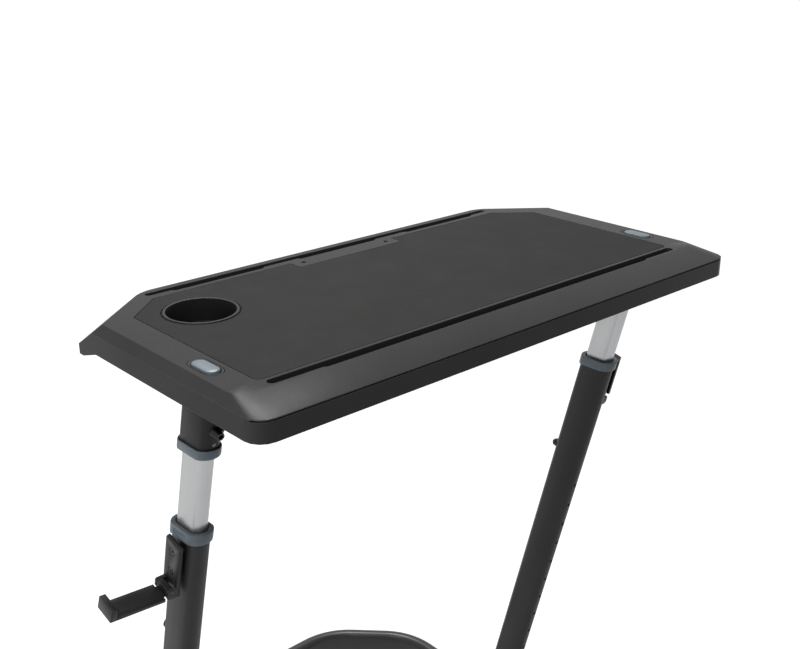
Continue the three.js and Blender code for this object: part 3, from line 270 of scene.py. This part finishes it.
def standing_for(node, name, mesh, material):
    """New piece that stands for a CAD node, on its body."""
    piece = bpy.data.objects.new(name, mesh)
    scene.collection.objects.link(piece)
    mesh.materials.append(material)
    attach(piece, cad_nodes[node]["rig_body"])
    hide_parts(node)
    return piece


def dressed(node, material, crease=35.0, edge=0.0, reshape=None):
    """Welded copy that stands for its CAD node, with its material."""
    return standing_for(node, f"{node}_piece", welded_copy(node, crease, edge, reshape), material)


def finished(node, material):
    """Give a CAD node that keeps its own shape its material."""
    data = cad_nodes[node].data
    data.materials.clear()
    data.materials.append(material)


def effect_group(name, inputs, outputs):
    """Empty shader node group with named sockets: (tree, its inputs, its outputs)."""
    tree = bpy.data.node_groups.new(name, "ShaderNodeTree")
    for label, kind, value in inputs:
        socket = tree.interface.new_socket(name=label, in_out="INPUT", socket_type=kind)
        socket.default_value = value
    for label, kind in outputs:
        tree.interface.new_socket(name=label, in_out="OUTPUT", socket_type=kind)
    start = tree.nodes.new("NodeGroupInput")
    end = tree.nodes.new("NodeGroupOutput")
    return tree, start.outputs, end.inputs


def noise(tree, vector, scale, detail=2.0, rough=0.5):
    """Noise over the object's own metres, as its value socket."""
    node = tree.nodes.new("ShaderNodeTexNoise")
    node.inputs["Detail"].default_value = detail
    node.inputs["Roughness"].default_value = rough
    if isinstance(scale, (int, float)):
        node.inputs["Scale"].default_value = scale
    else:
        tree.links.new(scale, node.inputs["Scale"])
    tree.links.new(vector, node.inputs["Vector"])
    return node.outputs["Fac"]


def mixed_colours(tree, share, first, second):
    """Colour mix of sockets or plain colours, as its output socket."""
    node = tree.nodes.new("ShaderNodeMix")
    node.data_type = "RGBA"
    # The node's kinds of mix share their socket names, so the colour sockets are taken by place.
    for place, value in ((0, share), (6, first), (7, second)):
        if isinstance(value, tuple):
            node.inputs[place].default_value = value
        else:
            tree.links.new(value, node.inputs[place])
    return node.outputs[2]


edge_tree, edge_in, edge_out = effect_group(
    "eased_edges",
    [("Radius", "NodeSocketFloat", 0.001)],
    [("Normal", "NodeSocketVector"), ("Edge", "NodeSocketFloat")],
)
edge_round = edge_tree.nodes.new("ShaderNodeBevel")
edge_round.samples = 6
edge_tree.links.new(edge_in["Radius"], edge_round.inputs["Radius"])
edge_geometry = edge_tree.nodes.new("ShaderNodeNewGeometry")
edge_dot = edge_tree.nodes.new("ShaderNodeVectorMath")
edge_dot.operation = "DOT_PRODUCT"
edge_tree.links.new(edge_round.outputs[0], edge_dot.inputs[0])
edge_tree.links.new(edge_geometry.outputs["Normal"], edge_dot.inputs[1])
edge_bend = maths(edge_tree, "SUBTRACT", 1.0, edge_dot.outputs["Value"])
edge_mask = maths(edge_tree, "MULTIPLY", edge_bend, rubbed_edge_gain, clamp=True)
edge_tree.links.new(edge_round.outputs[0], edge_out["Normal"])
edge_tree.links.new(edge_mask, edge_out["Edge"])

grain_tree, grain_in, grain_out = effect_group(
    "moulded_grain",
    [("Fineness", "NodeSocketFloat", 900.0)],
    [("Height", "NodeSocketFloat"), ("Patch", "NodeSocketFloat")],
)
grain_place = grain_tree.nodes.new("ShaderNodeTexCoord").outputs["Object"]
grain_height = noise(grain_tree, grain_place, scale=grain_in["Fineness"], detail=3.0, rough=0.6)
grain_patch = noise(grain_tree, grain_place, scale=26.0, detail=4.0, rough=0.55)
grain_tree.links.new(grain_height, grain_out["Height"])
grain_tree.links.new(grain_patch, grain_out["Patch"])

wear_tree, wear_in, wear_out = effect_group(
    "rubbed_and_dusty",
    [("Colour", "NodeSocketColor", (0.1, 0.1, 0.1, 1.0)), ("Edge", "NodeSocketFloat", 0.0),
     ("Rub", "NodeSocketFloat", 0.2), ("Dust", "NodeSocketFloat", 0.1)],
    [("Colour", "NodeSocketColor")],
)
wear_place = wear_tree.nodes.new("ShaderNodeTexCoord").outputs["Object"]
wear_patch = noise(wear_tree, wear_place, scale=11.0, detail=5.0)
wear_shade = maths(wear_tree, "MULTIPLY_ADD", wear_patch, patch_depth, patch_floor)
wear_tint = wear_tree.nodes.new("ShaderNodeVectorMath")
wear_tint.operation = "SCALE"
wear_tree.links.new(wear_in["Colour"], wear_tint.inputs[0])
wear_tree.links.new(wear_shade, wear_tint.inputs["Scale"])
wear_spots = noise(wear_tree, wear_place, scale=160.0, detail=4.0)
wear_scuffs = maths(wear_tree, "MULTIPLY", wear_spots, wear_in["Rub"])
wear_rub = maths(wear_tree, "MULTIPLY", wear_in["Edge"], wear_scuffs, clamp=True)
wear_bare = mixed_colours(wear_tree, wear_rub, wear_tint.outputs[0], rubbed_colour)
wear_geometry = wear_tree.nodes.new("ShaderNodeNewGeometry")
wear_up = wear_tree.nodes.new("ShaderNodeSeparateXYZ")
wear_tree.links.new(wear_geometry.outputs["Normal"], wear_up.inputs[0])
wear_flat = maths(wear_tree, "SUBTRACT", wear_up.outputs["Z"], dust_slope, clamp=True)
wear_level = maths(wear_tree, "MULTIPLY", wear_flat, dust_gain, clamp=True)
wear_film = maths(wear_tree, "MULTIPLY", wear_level, wear_in["Dust"])
wear_specks = noise(wear_tree, wear_place, scale=420.0, detail=5.0, rough=0.7)
wear_dust = maths(wear_tree, "MULTIPLY", wear_film, wear_specks)
wear_tree.links.new(mixed_colours(wear_tree, wear_dust, wear_bare, dust_colour), wear_out["Colour"])


def placed(tree, group, **values):
    """Node group placed in a material with its own values: its (inputs, outputs)."""
    node = tree.nodes.new("ShaderNodeGroup")
    node.node_tree = group
    for label, value in values.items():
        node.inputs[label].default_value = value
    return node.inputs, node.outputs


def worn_finish(name, colour, roughness, skin, fineness, patchy, swing, strength, depth, radius, rub, dust):
    """Principled material with eased, rubbed edges, dust and a fine skin: (material, the shader's inputs).

    The skin's Height makes the bump, and its patchy output swings the roughness about its middle.
    """
    material = bpy.data.materials.new(name)
    material.use_nodes = True
    tree = material.node_tree
    shader = tree.nodes["Principled BSDF"].inputs
    _, edges = placed(tree, edge_tree, Radius=radius)
    _, grain = placed(tree, skin, Fineness=fineness)
    wear, worn = placed(tree, wear_tree, Colour=colour, Rub=rub, Dust=dust)
    tree.links.new(edges["Edge"], wear["Edge"])
    tree.links.new(worn["Colour"], shader["Base Color"])
    rough = maths(tree, "MULTIPLY_ADD", grain[patchy], swing, roughness - swing / 2)
    tree.links.new(rough, shader["Roughness"])
    bump = tree.nodes.new("ShaderNodeBump")
    bump.inputs["Strength"].default_value = strength
    bump.inputs["Distance"].default_value = depth
    tree.links.new(grain["Height"], bump.inputs["Height"])
    tree.links.new(edges["Normal"], bump.inputs["Normal"])
    tree.links.new(bump.outputs["Normal"], shader["Normal"])
    return material, shader


def moulded_plastic(name, colour, roughness, gloss=0.25, fineness=900.0, depth=0.00006, radius=0.0008,
                    rub=0.25, dust=0.05):
    """Moulded plastic or rubber: matt grain, patchy gloss, edges rubbed pale and a trace of dust."""
    material, shader = worn_finish(
        name, colour, roughness, skin=grain_tree, fineness=fineness, patchy="Patch", swing=0.16,
        strength=0.5, depth=depth, radius=radius, rub=rub, dust=dust,
    )
    shader["Specular IOR Level"].default_value = gloss
    return material


def deck_details(form):
    """Round the shell's far corners and cut the shadow line into the near wall."""
    low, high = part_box("deck_top")
    far_rim = [vertex for vertex in form.verts if vertex.co.y > high.y - level_slack]
    for corner in (min(far_rim, key=lambda v: v.co.x), max(far_rim, key=lambda v: v.co.x)):
        upright = [
            rim
            for rim in form.edges
            if all((vertex.co.xy - corner.co.xy).length < far_corner_search for vertex in rim.verts)
            and abs(rim.verts[0].co.z - rim.verts[1].co.z) > far_corner_height
            and rim.is_convex
        ]
        bmesh.ops.bevel(
            form, geom=upright, offset=far_corner_tangent, offset_type="OFFSET",
            segments=far_corner_segments, profile=0.5, affect="EDGES", clamp_overlap=False,
        )

    def in_near_wall(face):
        return face.normal.y < near_wall_facing and abs(face.normal.z) < near_wall_tilt

    shadow_line_foot = shadow_line_top - shadow_line_height
    for level in (shadow_line_top, shadow_line_foot):
        wall = [
            face
            for face in form.faces
            if in_near_wall(face)
            and min(v.co.z for v in face.verts) < level < max(v.co.z for v in face.verts)
            and min(v.co.y for v in face.verts) < low.y + near_wall_reach
        ]
        wall_rims = list(dict.fromkeys(rim for face in wall for rim in face.edges))
        wall_corners = list(dict.fromkeys(vertex for face in wall for vertex in face.verts))
        bmesh.ops.bisect_plane(
            form, geom=wall + wall_rims + wall_corners,
            plane_co=(0.0, 0.0, level), plane_no=(0.0, 0.0, 1.0),
        )
    strip = [
        face
        for face in form.faces
        if in_near_wall(face)
        and shadow_line_foot < face.calc_center_median().z < shadow_line_top
        and max(v.co.z for v in face.verts) < shadow_line_top + level_slack
        and min(v.co.z for v in face.verts) > shadow_line_foot - level_slack
    ]
    bmesh.ops.inset_region(
        form, faces=strip, thickness=shadow_line_border, depth=-shadow_line_depth, use_even_offset=True,
    )


deck_plastic = moulded_plastic("deck_plastic", deck_colour, 0.27, gloss=0.03, rub=0.3, dust=0.02)
dressed("deck_top", deck_plastic, crease=24.0, reshape=deck_details)


# Mat: a soft rubber sheet inset in the deck, flush with it inside a one-millimetre seam.
# It is matter than the deck, with a finer stipple, and is cut round the bottle well.
mat_colour = (0.0215, 0.0215, 0.0215, 1.0)
mat_rubber = moulded_plastic(
    "mat_rubber", mat_colour, 0.66, gloss=0.03, fineness=1500.0, depth=0.00005, radius=0.0005,
    rub=0.1, dust=0.03,
)
dressed("deck_mat", mat_rubber)


# Bottle well: a moulded cup of dark plastic that drops in from above and hangs by its rim.
# The rim is bevelled outside and eased inside, and the wall tapers down to a flat floor.
well_colour = (0.0045, 0.0045, 0.0047, 1.0)
well_centre = Vector((-0.22057, -0.0854, 0.920))
well_radius = 0.0377
well_wall = 0.002
well_depth = 0.0257
well_draft = 0.0008
well_foot_chamfer = 0.001
well_floor_round = 0.0012
well_floor_crown = 0.0004
well_rim_radius = 0.04185
well_rim_thickness = 0.002
well_rise = 0.001
well_bevel = 0.0016
well_bevel_crown = Vector((0.6, 0.2)) * well_bevel
well_mouth_round = 0.0008
well_mouth_crown = 0.00025
well_sides = 96


def turned_mesh(name, profile, sides, place):
    """Turned form from (radius, height) pairs, closed at both ends, through a placing matrix."""
    form = bmesh.new()
    rings = []
    for radius, height in profile:
        if radius == 0:
            rings.append([form.verts.new(place @ Vector((0, 0, height)))])
            continue
        ring = []
        for step in range(sides):
            angle = 2 * math.pi * step / sides
            point = Vector((radius * math.cos(angle), radius * math.sin(angle), height))
            ring.append(form.verts.new(place @ point))
        rings.append(ring)
    for low, high in zip(rings, rings[1:]):
        for step in range(sides):
            after = (step + 1) % sides
            foot = [low[step % len(low)], low[after % len(low)]]
            head = [high[after % len(high)], high[step % len(high)]]
            form.faces.new(list(dict.fromkeys(foot + head)))
    bmesh.ops.recalc_face_normals(form, faces=form.faces)
    return smooth_mesh(name, form, crease=40.0)


well_plastic = moulded_plastic("well_plastic", well_colour, 0.5, gloss=0.12, radius=0.0004)
well_outer = well_radius + well_wall
well_foot = -well_depth - well_wall
well_profile = [
    (0, well_foot),
    (well_outer - well_draft - well_foot_chamfer, well_foot),
    (well_outer - well_draft, well_foot + well_foot_chamfer),
    (well_outer, -well_rim_thickness),
    (well_rim_radius, -well_rim_thickness),
    (well_rim_radius, well_rise - well_bevel),
    (well_rim_radius - well_bevel_crown.x, well_rise - well_bevel_crown.y),
    (well_rim_radius - well_bevel, well_rise),
    (well_radius + well_mouth_round, well_rise),
    (well_radius + well_mouth_crown, well_rise - well_mouth_crown),
    (well_radius, well_rise - well_mouth_round),
    (well_radius - well_draft, well_floor_round - well_depth),
    (well_radius - well_draft - well_floor_crown, well_floor_crown - well_depth),
    (well_radius - well_draft - well_floor_round, -well_depth),
    (0, -well_depth),
]
well_mesh = turned_mesh("bottle_well_shape", well_profile, well_sides, Matrix.Translation(well_centre))
standing_for("cup_well", "bottle_well", well_mesh, well_plastic)


# Underside cover: a flat plate of black moulded plastic, screwed to the bosses inside the deck.
# It is only seen from below and keeps its CAD shape.
cover_colour = (0.016, 0.0165, 0.017, 1.0)
cover_plastic = moulded_plastic("cover_plastic", cover_colour, 0.6, fineness=600.0)
finished("underside_cover", cover_plastic)


# Release buttons: a pale satin lozenge of plastic stands in a dark dished bezel at each end of the deck.
# The bezel drops into the deck, with a fine seam outside and a dark gap round the button.
# A steel coil spring stands under each button and lifts it back.
button_colour = (0.106, 0.135, 0.158, 1.0)
bezel_colour = (0.040, 0.040, 0.040, 1.0)
bezel_straight = 0.01275
bezel_wall_radius = 0.01075
bezel_wall_slack = 0.0001
bezel_mouth_radius = 0.0083
bezel_mouth_slack = 0.0003
bezel_seam = 0.0007
bezel_gap = 0.0004
spring_colour = (0.45, 0.45, 0.46, 1.0)


def turned_steel(name, colour, roughness):
    """Bright or dark plated steel with fine turning marks."""
    material, shader = worn_finish(
        name, colour, roughness, skin=grain_tree, fineness=1800.0, patchy="Height", swing=0.18,
        strength=0.2, depth=0.00003, radius=0.0004, rub=0.4, dust=0.0,
    )
    shader["Metallic"].default_value = 1.0
    return material


def bezel_details(hand):
    """Reshaping that opens a bezel's outer seam and its gap round the button."""
    low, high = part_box(f"button_bezel_{hand}")
    centre = (low + high) / 2

    def reshape(form):
        for vertex in form.verts:
            along = max(-bezel_straight, min(bezel_straight, vertex.co.y - centre.y))
            axis = Vector((centre.x, centre.y + along))
            reach = vertex.co.xy - axis
            if abs(reach.length - bezel_wall_radius) < bezel_wall_slack:
                shift = -bezel_seam
            elif abs(reach.length - bezel_mouth_radius) < bezel_mouth_slack:
                shift = bezel_gap
            else:
                continue
            vertex.co.xy = axis + reach.normalized() * (reach.length + shift)

    return reshape


button_plastic = moulded_plastic(
    "button_plastic", button_colour, 0.36, gloss=0.28, fineness=1400.0, depth=0.00002,
    rub=0.3, dust=0.02,
)
bezel_plastic = moulded_plastic("bezel_plastic", bezel_colour, 0.45, gloss=0.12)
spring_steel = turned_steel("spring_steel", spring_colour, 0.35)
for hand in ("left", "right"):
    dressed(
        f"button_bezel_{hand}", bezel_plastic,
        crease=30.0, reshape=bezel_details(hand),
    )
    dressed(f"release_button_{hand}", button_plastic, crease=50.0)
    spring = dressed(f"button_spring_{hand}", spring_steel, crease=70.0)
    low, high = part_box(f"button_spring_{hand}")
    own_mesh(spring)


# Sleeves: black powder-coated oval tubes bolted up under the deck, each with a gusset.
# A tapered clamp bolt and a small snap button stand on the rider's side of each.
sleeve_colour = (0.0085, 0.0085, 0.0086, 1.0)
bolt_colour = (0.032, 0.032, 0.034, 1.0)
snap_colour = (0.10, 0.13, 0.155, 1.0)


def powder_coat(name, colour, roughness, gloss):
    """Satin powder coat over steel: a shallow orange-peel skin with a soft clear gloss."""
    material, shader = worn_finish(
        name, colour, roughness, skin=grain_tree, fineness=420.0, patchy="Patch", swing=0.14,
        strength=0.35, depth=0.00005, radius=0.0009, rub=0.18, dust=0.06,
    )
    shader["Specular IOR Level"].default_value = gloss
    return material


sleeve_paint = powder_coat("sleeve_paint", sleeve_colour, 0.48, gloss=0.16)
bolt_steel = turned_steel("bolt_steel", bolt_colour, 0.4)
snap_plastic = moulded_plastic("snap_plastic", snap_colour, 0.4, gloss=0.4)
for hand in ("left", "right"):
    dressed(f"sleeve_{hand}", sleeve_paint, crease=30.0)
    dressed(f"clamp_bolt_{hand}", bolt_steel, crease=40.0)
    dressed(f"snap_button_{hand}", snap_plastic, crease=50.0)


# Collars: blue-grey acetal rings, one closing each sleeve and one round the mouth of each lower tube.
# They guide the bright tubes, and each lower one has a shallow recessed panel on its outer face.
collar_colour = (0.058, 0.076, 0.091, 1.0)
collar_edge = 0.0004
collar_plastic = moulded_plastic(
    "collar_plastic", collar_colour, 0.42, gloss=0.3, fineness=1200.0, depth=0.00003, radius=0.0003,
    rub=0.3, dust=0.04,
)
for hand in ("left", "right"):
    dressed(f"upper_collar_{hand}", collar_plastic, crease=32.0, edge=collar_edge)
    dressed(f"lower_collar_{hand}", collar_plastic, crease=32.0, edge=collar_edge)


# Bright tubes: clear-anodised extruded aluminium with faint die lines along their length.
# The plug, the push rod, the latch pin and its guide shoe are inside and out of sight.
bright_colour = (0.372, 0.376, 0.380, 1.0)
plug_colour = (0.02, 0.02, 0.021, 1.0)
lean = math.radians(14.0)
die_line_stretch = 0.004

draw_tree, draw_in, draw_out = effect_group(
    "die_lines",
    [("Fineness", "NodeSocketFloat", 900.0)],
    [("Height", "NodeSocketFloat"), ("Band", "NodeSocketFloat")],
)
draw_place = draw_tree.nodes.new("ShaderNodeTexCoord").outputs["Object"]
draw_turn = draw_tree.nodes.new("ShaderNodeVectorRotate")
draw_turn.rotation_type = "X_AXIS"
draw_turn.inputs["Angle"].default_value = -lean
draw_tree.links.new(draw_place, draw_turn.inputs["Vector"])
draw_stretch = draw_tree.nodes.new("ShaderNodeVectorMath")
draw_stretch.operation = "MULTIPLY"
draw_stretch.inputs[1].default_value = (1.0, 1.0, die_line_stretch)
draw_tree.links.new(draw_turn.outputs[0], draw_stretch.inputs[0])
draw_along = draw_stretch.outputs[0]
draw_lines = noise(draw_tree, draw_along, scale=draw_in["Fineness"], detail=3.0, rough=0.6)
draw_bands = noise(draw_tree, draw_along, scale=130.0)
draw_tree.links.new(draw_lines, draw_out["Height"])
draw_tree.links.new(draw_bands, draw_out["Band"])

anodised_tube, tube_shader = worn_finish(
    "anodised_tube", bright_colour, 0.31, skin=draw_tree, fineness=1400.0, patchy="Band", swing=0.14,
    strength=0.15, depth=0.00003, radius=0.0005, rub=0.2, dust=0.0,
)
tube_shader["Metallic"].default_value = 0.85
plug_plastic = moulded_plastic("plug_plastic", plug_colour, 0.5)
for hand in ("left", "right"):
    dressed(f"upper_tube_{hand}", anodised_tube, crease=32.0)
    finished(f"tube_plug_{hand}", plug_plastic)
    finished(f"push_rod_{hand}", spring_steel)
    finished(f"latch_pin_{hand}", bolt_steel)
    finished(f"latch_housing_{hand}", plug_plastic)


# Lower tubes: the same powder-coated oval stock as the frame, drilled with a row of index holes.
# A dark moulded stud on the far side of each stops the bright tube's shoe.
coat_colour = (0.0142, 0.0142, 0.0143, 1.0)
stud_colour = (0.008, 0.008, 0.008, 1.0)
stud_reach = 0.006
stud_fuller = 1.25
stud_longer = 1.4


def stud_details(hand):
    """Reshaping that makes a stop stud fuller and longer beyond the tube's far edge."""
    low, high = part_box(f"stop_stud_{hand}")
    middle = (low + high) / 2
    outward = Vector((0.0, math.cos(lean), math.sin(lean)))
    tip = max(outward.dot(vertex.co) for vertex in cad_nodes[f"stop_stud_{hand}"].data.vertices)
    seat = tip - stud_reach

    def reshape(form):
        for vertex in form.verts:
            along = outward.dot(vertex.co)
            axis = middle + outward * (along - outward.dot(middle))
            grown = axis + (vertex.co - axis) * stud_fuller
            vertex.co = grown + outward * max(0.0, along - seat) * (stud_longer - 1.0)

    return reshape


tube_paint = powder_coat("tube_paint", coat_colour, 0.46, gloss=0.18)
stud_plastic = moulded_plastic("stud_plastic", stud_colour, 0.4, gloss=0.25)
for hand in ("left", "right"):
    dressed(f"lower_tube_{hand}", tube_paint, crease=32.0)
    dressed(f"stop_stud_{hand}", stud_plastic, crease=40.0, reshape=stud_details(hand))


# Hooks: a moulded bracket screwed to the outer face of each leg, with an arm that folds out on a pin.
# The arm is a thin plate that starts close behind the ears, and its knuckle is squared off between them.
# The black screws sit in round recesses and have a round socket.
hook_colour = (0.0082, 0.0082, 0.0084, 1.0)
hook_open_angle = {"left": math.radians(5.0), "right": math.radians(90.0)}
hook_edge = 0.0003
hook_arm_start = 0.0112
hook_arm_start_slack = 0.0003
hook_arm_lengthened = 0.0043
hook_arm_top = -0.00327
hook_arm_foot = -0.00907
hook_plate_top = -0.0052
hook_face_slack = 0.0002
hook_peg_start = 0.05
hook_tip_top = 0.0037
hook_tip_raised = 0.0023
hook_knuckle_half = 0.0084
hook_knuckle_outline = (
    (-0.0012, 0.0026), (-0.0012, 0.0038), (0.0050, 0.0037), (0.0054, 0.0033),
    (0.0054, -0.0040), (0.0026, -0.0040), (0.0026, 0.0026),
)
screw_colour = (0.05, 0.05, 0.052, 1.0)
screw_sides = 24
screw_shank_radius = 0.0025
screw_shank_foot = -0.0124
screw_shank_corner = -0.0120
screw_head_radius = 0.0046
screw_head_foot = -0.0018
screw_head_round = ((0.0, -0.0007), (0.0004, -0.0002), (0.0012, 0.0))
screw_socket_radius = 0.0019
screw_socket_chamfer = 0.0002
screw_socket_corner = -0.0013
screw_socket_floor = -0.0014


def hook_details(hand, side, knuckle):
    """Reshaping of a hook's arm or tip: a thinner plate, a higher lip and a squared knuckle."""
    pivot = Vector(next(j["pos_m"] for j in frame["joints"] if j["name"] == f"hook_{hand}_fold"))
    angle = hook_open_angle[hand]
    across = Vector((0.0, math.cos(lean), math.sin(lean)))
    upward = Vector((0.0, -math.sin(lean), math.cos(lean)))
    outward = Vector((side, 0.0, 0.0))
    reach = outward * math.cos(angle) + upward * math.sin(angle)
    over = upward * math.cos(angle) - outward * math.sin(angle)
    slimming = (hook_plate_top - hook_arm_foot) / (hook_arm_top - hook_arm_foot)

    def add_knuckle(form):
        near, far = [
            [form.verts.new(pivot + reach * x + over * z + across * y) for x, z in hook_knuckle_outline]
            for y in (-hook_knuckle_half, hook_knuckle_half)
        ]
        form.faces.new(near)
        form.faces.new(far)
        for step in range(len(near)):
            after = (step + 1) % len(near)
            form.faces.new((near[step], near[after], far[after], far[step]))

    def reshape(form):
        for vertex in form.verts:
            along, height = (vertex.co - pivot).dot(reach), (vertex.co - pivot).dot(over)
            on_plate = abs(height - hook_arm_top) < hook_face_slack
            on_lip = abs(height - hook_tip_top) < hook_face_slack
            if knuckle and abs(along - hook_arm_start) < hook_arm_start_slack:
                vertex.co -= reach * hook_arm_lengthened
            if on_plate or (along > hook_peg_start and height < hook_arm_top):
                vertex.co += over * (height - hook_arm_foot) * (slimming - 1.0)
            elif on_lip and along > hook_peg_start:
                vertex.co += over * hook_tip_raised
        if knuckle:
            add_knuckle(form)

    return reshape


hook_plastic = moulded_plastic("hook_plastic", hook_colour, 0.42, gloss=0.24, radius=0.0002)
screw_steel = turned_steel("screw_steel", screw_colour, 0.4)
screw_profile = [
    (0, screw_shank_foot),
    (screw_shank_radius, screw_shank_corner),
    (screw_shank_radius, screw_head_foot),
    (screw_head_radius, screw_head_foot),
    *((screw_head_radius - inward, height) for inward, height in screw_head_round),
    (screw_socket_radius + screw_socket_chamfer, 0),
    (screw_socket_radius, -screw_socket_chamfer),
    (screw_socket_radius, screw_socket_corner),
    (0, screw_socket_floor),
]
for hand, side in (("left", -1), ("right", 1)):
    dressed(f"hook_bracket_{hand}", hook_plastic, edge=hook_edge)
    for part in ("arm", "tip"):
        dressed(
            f"hook_{part}_{hand}", hook_plastic,
            edge=hook_edge, reshape=hook_details(hand, side, part == "arm"),
        )
    finished(f"hook_spacer_{hand}", hook_plastic)
    dressed(f"hook_pin_{hand}", screw_steel)
    for number in (1, 2):
        node = f"hook_screw_{hand}_{number}"
        low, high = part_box(node)
        head = (low + high) / 2
        head.x = high.x if side > 0 else low.x
        place = Matrix.Translation(head) @ Matrix.Rotation(side * math.pi / 2, 4, "Y")
        screw_mesh = turned_mesh(f"{node}_shape", screw_profile, screw_sides, place)
        standing_for(node, f"{node}_piece", screw_mesh, screw_steel)


# Floor frame: one length of oval steel tube on edge, bent twice at each far corner and powder-coated.
# It is swept again here along the same path with smooth bends.
frame_colour = (0.0045, 0.0045, 0.0045, 1.0)
frame_rail_x = 0.3325
frame_centre_x = 0.031026
frame_near_y = -0.3122
frame_bar_y = 0.32615
frame_height = 0.0325
frame_cut = 0.1092
frame_bend_radius = 0.111
frame_bend_steps = 14
oval_width = 0.049
oval_thickness = 0.0245
oval_sagitta = 0.0089
oval_wall = 0.0018
oval_steps = 14


def oval_points(inset):
    """Flat-oval section, tall along its second axis, moved in by an inset."""
    half = oval_thickness / 2
    radius = (half * half + oval_sagitta * oval_sagitta) / (2 * oval_sagitta)
    centre = oval_width / 2 - radius
    reach = math.asin((half - inset) / (radius - inset))
    points = []
    for sign in (1, -1):
        for step in range(oval_steps + 1):
            angle = sign * math.pi / 2 - reach + 2 * reach * step / oval_steps
            across, along = (radius - inset) * math.cos(angle), (radius - inset) * math.sin(angle)
            points.append((across, sign * centre + along))
    return points


def bent_path(corners, radius, steps):
    """Points and headings along straight runs joined by round bends."""
    headings = [(after - before).normalized() for before, after in zip(corners, corners[1:])]
    stations = [(corners[0], headings[0])]
    for corner, before, after in zip(corners[1:], headings, headings[1:]):
        turn = -before.angle_signed(after)
        tangent = radius * math.tan(abs(turn) / 2)
        start = corner - before * tangent
        inward = Vector((-before.y, before.x)) * math.copysign(1, turn)
        centre = start + inward * radius
        for step in range(steps + 1):
            swing = Matrix.Rotation(turn * step / steps, 2)
            stations.append((centre + swing @ (start - centre), swing @ before))
    stations.append((corners[-1], headings[-1]))
    return stations


def swept_tube(name, stations, height):
    """Hollow oval tube along level stations, with open annular ends."""
    form = bmesh.new()
    skins = []
    for inset in (0.0, oval_wall):
        rings = []
        for point, heading in stations:
            rings.append([
                form.verts.new((point.x - heading.y * x, point.y + heading.x * x, height + y))
                for x, y in oval_points(inset)
            ])
        skins.append(rings)
    joins = [pair for rings in skins for pair in zip(rings, rings[1:])]
    joins += [(skins[0][end], skins[1][end]) for end in (0, -1)]
    for before, after in joins:
        for step in range(len(before)):
            following = (step + 1) % len(before)
            form.faces.new((before[step], before[following], after[following], after[step]))
    bmesh.ops.recalc_face_normals(form, faces=form.faces)
    return smooth_mesh(name, form, crease=32.0)


frame_corners = [
    Vector((frame_centre_x + frame_rail_x, frame_near_y)),
    Vector((frame_centre_x + frame_rail_x, frame_bar_y - frame_cut)),
    Vector((frame_centre_x + frame_rail_x - frame_cut, frame_bar_y)),
    Vector((frame_centre_x - frame_rail_x + frame_cut, frame_bar_y)),
    Vector((frame_centre_x - frame_rail_x, frame_bar_y - frame_cut)),
    Vector((frame_centre_x - frame_rail_x, frame_near_y)),
]
frame_path = bent_path(frame_corners, frame_bend_radius, frame_bend_steps)
frame_mesh = swept_tube("floor_frame_shape", frame_path, frame_height)
frame_paint = powder_coat("frame_paint", frame_colour, 0.34, gloss=0.4)
standing_for("base_frame", "floor_frame", frame_mesh, frame_paint)


# Frame fittings: moulded saddles bolted across the rails, bevelled end caps and soft feet.
# The saddles carry the lower tubes, the caps close the rails' near ends, and the frame stands on the
# rubber feet.
shoe_colour = (0.018, 0.018, 0.019, 1.0)
cap_colour = (0.016, 0.016, 0.017, 1.0)
foot_colour = (0.012, 0.012, 0.012, 1.0)
shoe_plastic = moulded_plastic("shoe_plastic", shoe_colour, 0.5)
cap_plastic = moulded_plastic("cap_plastic", cap_colour, 0.5)
foot_rubber = moulded_plastic("foot_rubber", foot_colour, 0.8, gloss=0.15, fineness=500.0)
for hand in ("left", "right"):
    dressed(f"leg_shoe_{hand}", shoe_plastic, crease=32.0)
    dressed(f"rail_end_cap_{hand}", cap_plastic, crease=32.0)
    dressed(f"near_foot_{hand}", foot_rubber)
    dressed(f"far_foot_{hand}", foot_rubber)
